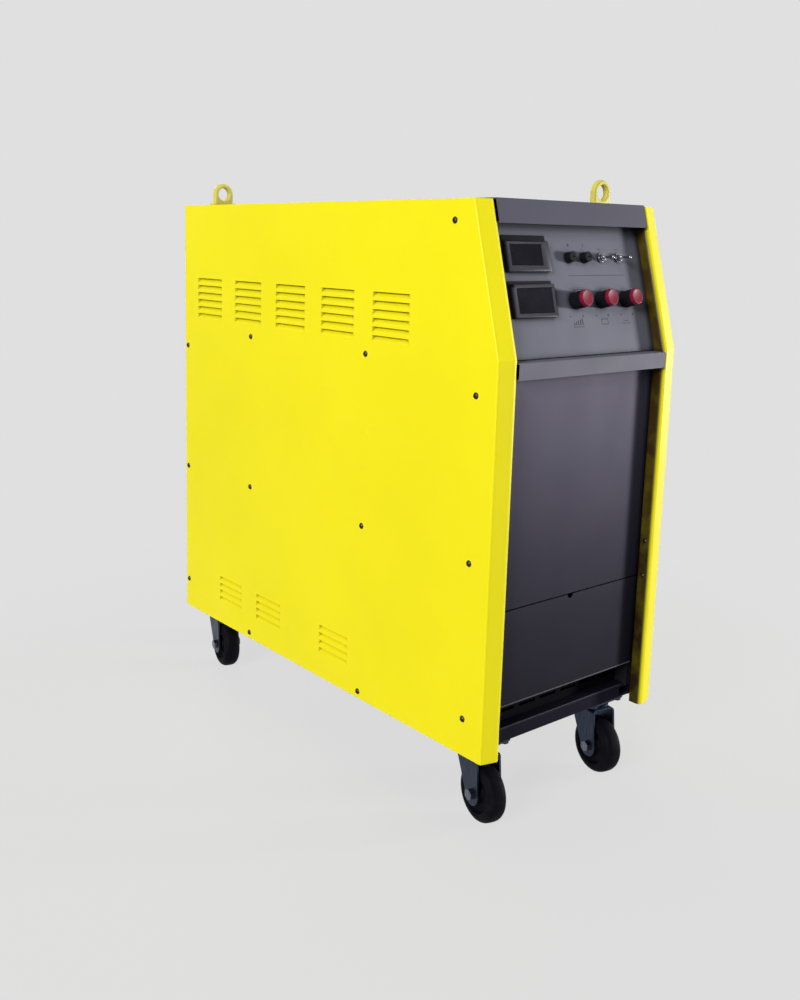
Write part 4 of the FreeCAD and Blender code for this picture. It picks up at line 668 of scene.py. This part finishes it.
for place_name, up_from_knee, window in METERS:
    mesh = meter_bezel(window)
    bmesh.ops.transform(mesh, matrix=console_frame(METER_X, up_from_knee), verts=mesh.verts)
    piece = piece_from(mesh, "meter_bezel_" + place_name, bezel_plastic, BEZEL_ANGLE)
    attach(piece, "cabinet")
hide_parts("meter_housings")

# %% [markdown]
# The console's printing is kept to plain marks: a cross and a bar over the two fuses, a dash
# over each switch, a dividing line, and under each knob the signs for less and more and a
# small picture. A colour mask in the console's paint could draw them too. Flat blocks a tenth
# of a millimetre thick, like a screen print, are simpler to place and stay sharp.

# %% Printed marks
MARK_THICK, MARK_LIFT = 0.1 * MM, 0.02 * MM
FUSE_XS, SWITCH_XS, KNOB_XS = (-3.0, 33.0), (73.0, 117.0), (-6.0, 57.0, 120.0)
FUSE_MARK_UP, SWITCH_MARK_UP, KNOB_MARK_UP = 169.0, 163.0, 58.0
KNOB_MARK_OUT = 15.0
SIGN, STROKE = 5.0, 1.0
STEPS_X, FRAME_X, LINES_X = -4.0, 61.0, 116.0


def bars(items):
    """Small flat bars on the console: x, height above the knee, width and height in mm."""
    sheet = bmesh.new()
    for x, up_from_knee, wide, high in items:
        bar = bmesh.new()
        block(bar, (wide * MM, high * MM, MARK_THICK), (0, 0, MARK_THICK / 2 + MARK_LIFT))
        bmesh.ops.transform(bar, matrix=console_frame(x * MM, up_from_knee), verts=bar.verts)
        data = bpy.data.meshes.new("bar")
        bar.to_mesh(data)
        bar.free()
        sheet.from_mesh(data)
        bpy.data.meshes.remove(data)
    return sheet


marks = [(59.0, 121.5, 140.0, 0.7)]
marks += [(x, FUSE_MARK_UP, 1.4, 4.5) for x in FUSE_XS]
marks += [(FUSE_XS[0], FUSE_MARK_UP, 4.5, 1.4)]
marks += [(x, SWITCH_MARK_UP, 8.0, 0.8) for x in SWITCH_XS]
for x in KNOB_XS:
    less, more = x - KNOB_MARK_OUT, x + KNOB_MARK_OUT
    marks += [(less, KNOB_MARK_UP, SIGN, STROKE), (more, KNOB_MARK_UP, SIGN, STROKE),
              (more, KNOB_MARK_UP, STROKE, SIGN)]
marks += [(STEPS_X + i * 5.0 - 10.0, 46.0 + i * 0.8, 2.2, 4.0 + i * 1.6) for i in range(5)]
marks += [(STEPS_X, 41.5, 26.0, 0.8)]
marks += [(FRAME_X + out, 48.0, STROKE, 9.0) for out in (-8.0, 8.0)]
marks += [(FRAME_X, line_up, 16.0, STROKE) for line_up in (52.0, 44.0)]
marks += [(LINES_X, 44.0, 22.0, 0.8), (LINES_X, 48.0, 12.0, 0.8)]
printed = piece_from(bars(marks), "console_marks", print_paint)
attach(printed, "cabinet")
print("marks", len(marks))

# %% [markdown]
# The caster wheels are solid mouldings. A torus with discs in it would do from afar, but would
# leave seams. Half a section, from the middle of the tread to the bore, is mirrored and spun
# once round the axle instead, which gives the rounded tread, the ring in the side wall and
# the sunk web in one closed surface.

# %% Wheels
HALF_SECTION = [
    (0.0, 50.0), (4.5, 49.9), (8.1, 49.4), (11.0, 48.3), (13.5, 46.5), (15.4, 44.0),
    (16.6, 41.1), (17.0, 38.0), (16.4, 37.2), (16.4, 36.0), (17.0, 35.2), (16.6, 33.8),
    (12.0, 32.4), (9.4, 30.6), (9.0, 27.0), (9.0, 21.0), (9.6, 18.4), (13.0, 16.6),
    (16.4, 15.4), (18.4, 14.0), (19.4, 12.6), (19.5, 11.0), (19.5, 6.2), (19.0, 5.1)]
WHEEL_STEPS, WHEEL_ANGLE = 80, 0.7


def spun(mesh, geometry, axis, steps):
    """Spin an open or closed line once round an axis, and close the seam."""
    bmesh.ops.spin(mesh, geom=geometry, cent=(0, 0, 0), axis=axis, angle=2 * math.pi,
                   steps=steps, use_merge=True, use_duplicate=False)
    bmesh.ops.remove_doubles(mesh, verts=mesh.verts, dist=1e-6)


def wheel():
    disc = bmesh.new()
    half = [disc.verts.new((across * MM, 0, radius * MM)) for across, radius in HALF_SECTION]
    mirrored = [disc.verts.new((-v.co.x, 0, v.co.z)) for v in reversed(half[1:])]
    order = mirrored + half
    loop = [disc.edges.new(pair) for pair in zip(order, order[1:] + order[:1])]
    spun(disc, disc.verts[:] + loop, (1, 0, 0), WHEEL_STEPS)
    bmesh.ops.recalc_face_normals(disc, faces=disc.faces)
    return disc


def wheel_frame(name):
    """A matrix whose origin is a wheel's place and whose X is its axle."""
    joint = joint_named("wheel_roll_" + name)
    along = Vector(joint["axis"]).normalized()
    upright = Vector((0, 0, 1))
    turn = Matrix((along, upright.cross(along), upright)).transposed().to_4x4()
    return Matrix.Translation(joint["pos_m"]) @ turn


for corner in ("front_left", "front_right", "rear_left", "rear_right"):
    mesh = wheel()
    bmesh.ops.transform(mesh, matrix=wheel_frame(corner), verts=mesh.verts)
    piece = piece_from(mesh, "wheel_detail_" + corner, wheel_rubber, WHEEL_ANGLE)
    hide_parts("wheel_" + corner)
    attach(piece, "rolling_wheel_" + corner)
    print("wheel", corner, "triangles about", 2 * len(piece.data.polygons))

# %% [markdown]
# A plugged hole in the left cover shows as a faint round spot under the paint. Bump could
# fake it, but then its outline would be flat from the side, so it is a very low dome, spun
# from a short arc and turned to face out of the cover.

# %% Painted plug
PLUG_ARC = ((0, 0.5), (2.5, 0.45), (4.5, 0.3), (6.0, 0.0))
PLUG_Y, PLUG_Z = -0.1605, 0.616
PLUG_STEPS = 40

plug = bmesh.new()
arc = [plug.verts.new((0, r * MM, h * MM)) for r, h in PLUG_ARC]
spun(plug, arc + [plug.edges.new(pair) for pair in zip(arc, arc[1:])], (0, 0, 1), PLUG_STEPS)
cover_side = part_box("left_cover")[0].x
outward = Matrix.Translation((cover_side, PLUG_Y, PLUG_Z)) @ Matrix.Rotation(-math.pi / 2, 4, "Y")
bmesh.ops.transform(plug, matrix=outward, verts=plug.verts)
bmesh.ops.recalc_face_normals(plug, faces=plug.faces)
painted_plug = piece_from(plug, "painted_plug", yellow_paint)
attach(painted_plug, "cabinet")
print("plug at", cover_side)

# %% [markdown]
# The lower panel ends in a hem that shows as a thin light line, and so does the floor plate's
# front edge on top of the base: partly rubbed paint, partly a painted highlight on these lit
# edges. A band in the paint would stay as flat as the sheet. A thin bar with rounded edges and
# light paint lies on each sheet instead, and catches the light as a rubbed fold does.

# %% Hem and edge highlights
PANEL_FACE_Y = KNEE_Y * MM
BAR_REACH, BAR_DEEP, BAR_SUNK = 173.0 * MM, 0.8 * MM, 0.1 * MM
HEM_HIGH, EDGE_HIGH, BAR_ROUND = 2.2 * MM, 1.6 * MM, 0.2 * MM
hem_highlight_paint = painted("rubbed_hem_highlight_paint", (0.085, 0.081, 0.102), 0.50, wear=0.8,
                    under=(0.13, 0.13, 0.16), sheen=0.1, rubbed=0.3)
edge_highlight_paint = painted("rubbed_edge_highlight_paint", (0.045, 0.042, 0.058), 0.50, wear=0.8,
                     under=(0.09, 0.09, 0.11), sheen=0.1, rubbed=0.3)
panel_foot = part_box("lower_front_panel")[0].z
plate_low, plate_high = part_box("floor_plate")
BARS = (
    ("panel_hem", PANEL_FACE_Y, panel_foot + HEM_HIGH / 2, HEM_HIGH, hem_highlight_paint,
     "front_grey_paint"),
    ("plate_edge", plate_low.y, plate_high.z - EDGE_HIGH / 2, EDGE_HIGH, edge_highlight_paint,
     "black_paint"))
for name, y, z, high, finish, slot in BARS:
    strip = bmesh.new()
    block(strip, (2 * BAR_REACH, BAR_DEEP, high), (0, y - BAR_SUNK, z))
    round_edges(strip, strip.edges[:], BAR_ROUND, segments=1)
    piece = piece_from(strip, name, finish)
    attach(piece, "cabinet")
print("hem and edge at", round(panel_foot, 4), round(plate_high.z, 4))

# %% [markdown]
# The floor is a wide pale plane. Near the cabinet it takes soft shadows. Further out it turns
# into the plain backdrop colour, which hides the horizon from every side, where a curved
# backdrop would hide it from one. The light that it throws back up at the cabinet is that of
# a greyer floor, so that the cabinet's foot stays dark.

# %% Floor and backdrop
BACKDROP = (0.745, 0.745, 0.745)
FLOOR_COLOUR = (0.70, 0.70, 0.70)
BOUNCE_COLOUR = (0.35, 0.35, 0.35)
FLOOR_HALF = 14.0
GLOW_NEAR, GLOW_FAR = 0.55, 1.35
GLOW_SHARE = 0.88


def seen(finish):
    """1 for rays that come from the camera or a mirror-like surface, and 0 for plain light."""
    path = finish.add("ShaderNodeLightPath")
    first = finish.calculate("MAXIMUM", path.outputs["Is Camera Ray"],
                             path.outputs["Is Glossy Ray"])
    return finish.calculate("MAXIMUM", first, path.outputs["Is Transmission Ray"])


floor_finish = Finish("pale_floor")
pale = floor_finish.ramp(floor_finish.noise(1.5),
                         [(0.3, shade(FLOOR_COLOUR, 0.98)), (0.7, FLOOR_COLOUR)])
in_view = seen(floor_finish)
floor_finish.recolour(floor_finish.blend(in_view, BOUNCE_COLOUR, pale))
floor_finish.shader.inputs["Roughness"].default_value = 0.9
floor_finish.shader.inputs["Specular IOR Level"].default_value = 0.1
glow = floor_finish.add("ShaderNodeEmission")
glow.inputs["Color"].default_value = (*BACKDROP, 1.0)
reach = floor_finish.add("ShaderNodeVectorMath", operation="LENGTH")
floor_finish.link(floor_finish.place, reach.inputs[0])
far_away = floor_finish.spread(reach.outputs["Value"], GLOW_SHARE, 1.0, GLOW_NEAR, GLOW_FAR)
mixed = floor_finish.add("ShaderNodeMixShader")
floor_finish.link(floor_finish.calculate("MULTIPLY", far_away, in_view), mixed.inputs["Fac"])
floor_finish.link(floor_finish.shader.outputs["BSDF"], mixed.inputs[1])
floor_finish.link(glow.outputs["Emission"], mixed.inputs[2])
floor_finish.link(mixed.outputs["Shader"], floor_finish.output.inputs["Surface"])

floor_mesh = bmesh.new()
bmesh.ops.create_grid(floor_mesh, x_segments=2, y_segments=2, size=FLOOR_HALF)
floor = piece_from(floor_mesh, "floor", floor_finish)
print("floor", 2 * FLOOR_HALF, "m across")

# %% [markdown]
# The world is the same pale tone wherever it shows, and a softer white light elsewhere. Light
# Path tells the two apart: rays from the camera, from mirror-like surfaces and through clear
# ones see the backdrop, and all others get the weak light.

# %% World
AMBIENT = 0.07
world = bpy.data.worlds.new("studio")
bpy.context.scene.world = world
world.use_nodes = True
sky = world.node_tree
sky.nodes.clear()
path = sky.nodes.new("ShaderNodeLightPath")
shown, ambient = (sky.nodes.new("ShaderNodeBackground") for _ in range(2))
shown.inputs["Color"].default_value = (*BACKDROP, 1.0)
ambient.inputs["Color"].default_value = (1.0, 1.0, 1.0, 1.0)
ambient.inputs["Strength"].default_value = AMBIENT
either, any_ray = (sky.nodes.new("ShaderNodeMath") for _ in range(2))
either.operation = any_ray.operation = "MAXIMUM"
choose, sky_output = sky.nodes.new("ShaderNodeMixShader"), sky.nodes.new("ShaderNodeOutputWorld")
for source, target in (
        (path.outputs["Is Camera Ray"], either.inputs[0]),
        (path.outputs["Is Glossy Ray"], either.inputs[1]),
        (either.outputs[0], any_ray.inputs[0]),
        (path.outputs["Is Transmission Ray"], any_ray.inputs[1]),
        (any_ray.outputs[0], choose.inputs["Fac"]),
        (ambient.outputs[0], choose.inputs[1]),
        (shown.outputs[0], choose.inputs[2]),
        (choose.outputs[0], sky_output.inputs["Surface"])):
    sky.links.new(source, target)
print("world light", AMBIENT)

# %% [markdown]
# Area lamps are used, because their size sets how soft a shadow's edge is. A large one lights
# the long left side, from a little in front of it, so that the left cover's turned front edge
# is nearly as bright. A smaller one stands to the right of the front, and throws the right
# cover's shadow across the recessed panels. Weak ones light the top and the rear. No lamp
# shows itself to the camera.

# %% Lamps
# name, place, aim, size and power in watts
LAMPS = (
    ("left_side_lamp", (-10.2, -3.55, 4.6), (0, 0, 0.5), (4.5, 3.0), 1240.0),
    ("right_front_lamp", (4.88, -2.88, 0.81), (0, -0.4, 0.65), (0.72, 0.8), 335.0),
    ("top_lamp", (-0.2, 0.3, 4.0), (0, 0, 0.5), (2.4, 2.4), 40.0),
    ("rear_lamp", (1.8, 5.0, 1.8), (0, 0.4, 0.5), (1.6, 1.6), 90.0))

for name, place, aim, size, power in LAMPS:
    data = bpy.data.lights.new(name, "AREA")
    data.shape = "RECTANGLE"
    data.size, data.size_y = size
    data.energy = power
    light = bpy.data.objects.new(name, data)
    towards = (Vector(aim) - Vector(place)).to_track_quat("-Z", "Y").to_matrix().to_4x4()
    light.matrix_world = Matrix.Translation(place) @ towards
    light.visible_camera = False
    bpy.context.scene.collection.objects.link(light)
    print(name, power, "W")

# %% [markdown]
# The Standard view shows a colour about as it is written. A filmic one would grey the yellow
# covers and lift the dark front panels.

# %% Colour as written
bpy.context.scene.view_settings.view_transform = "Standard"
print("view", bpy.context.scene.view_settings.view_transform)
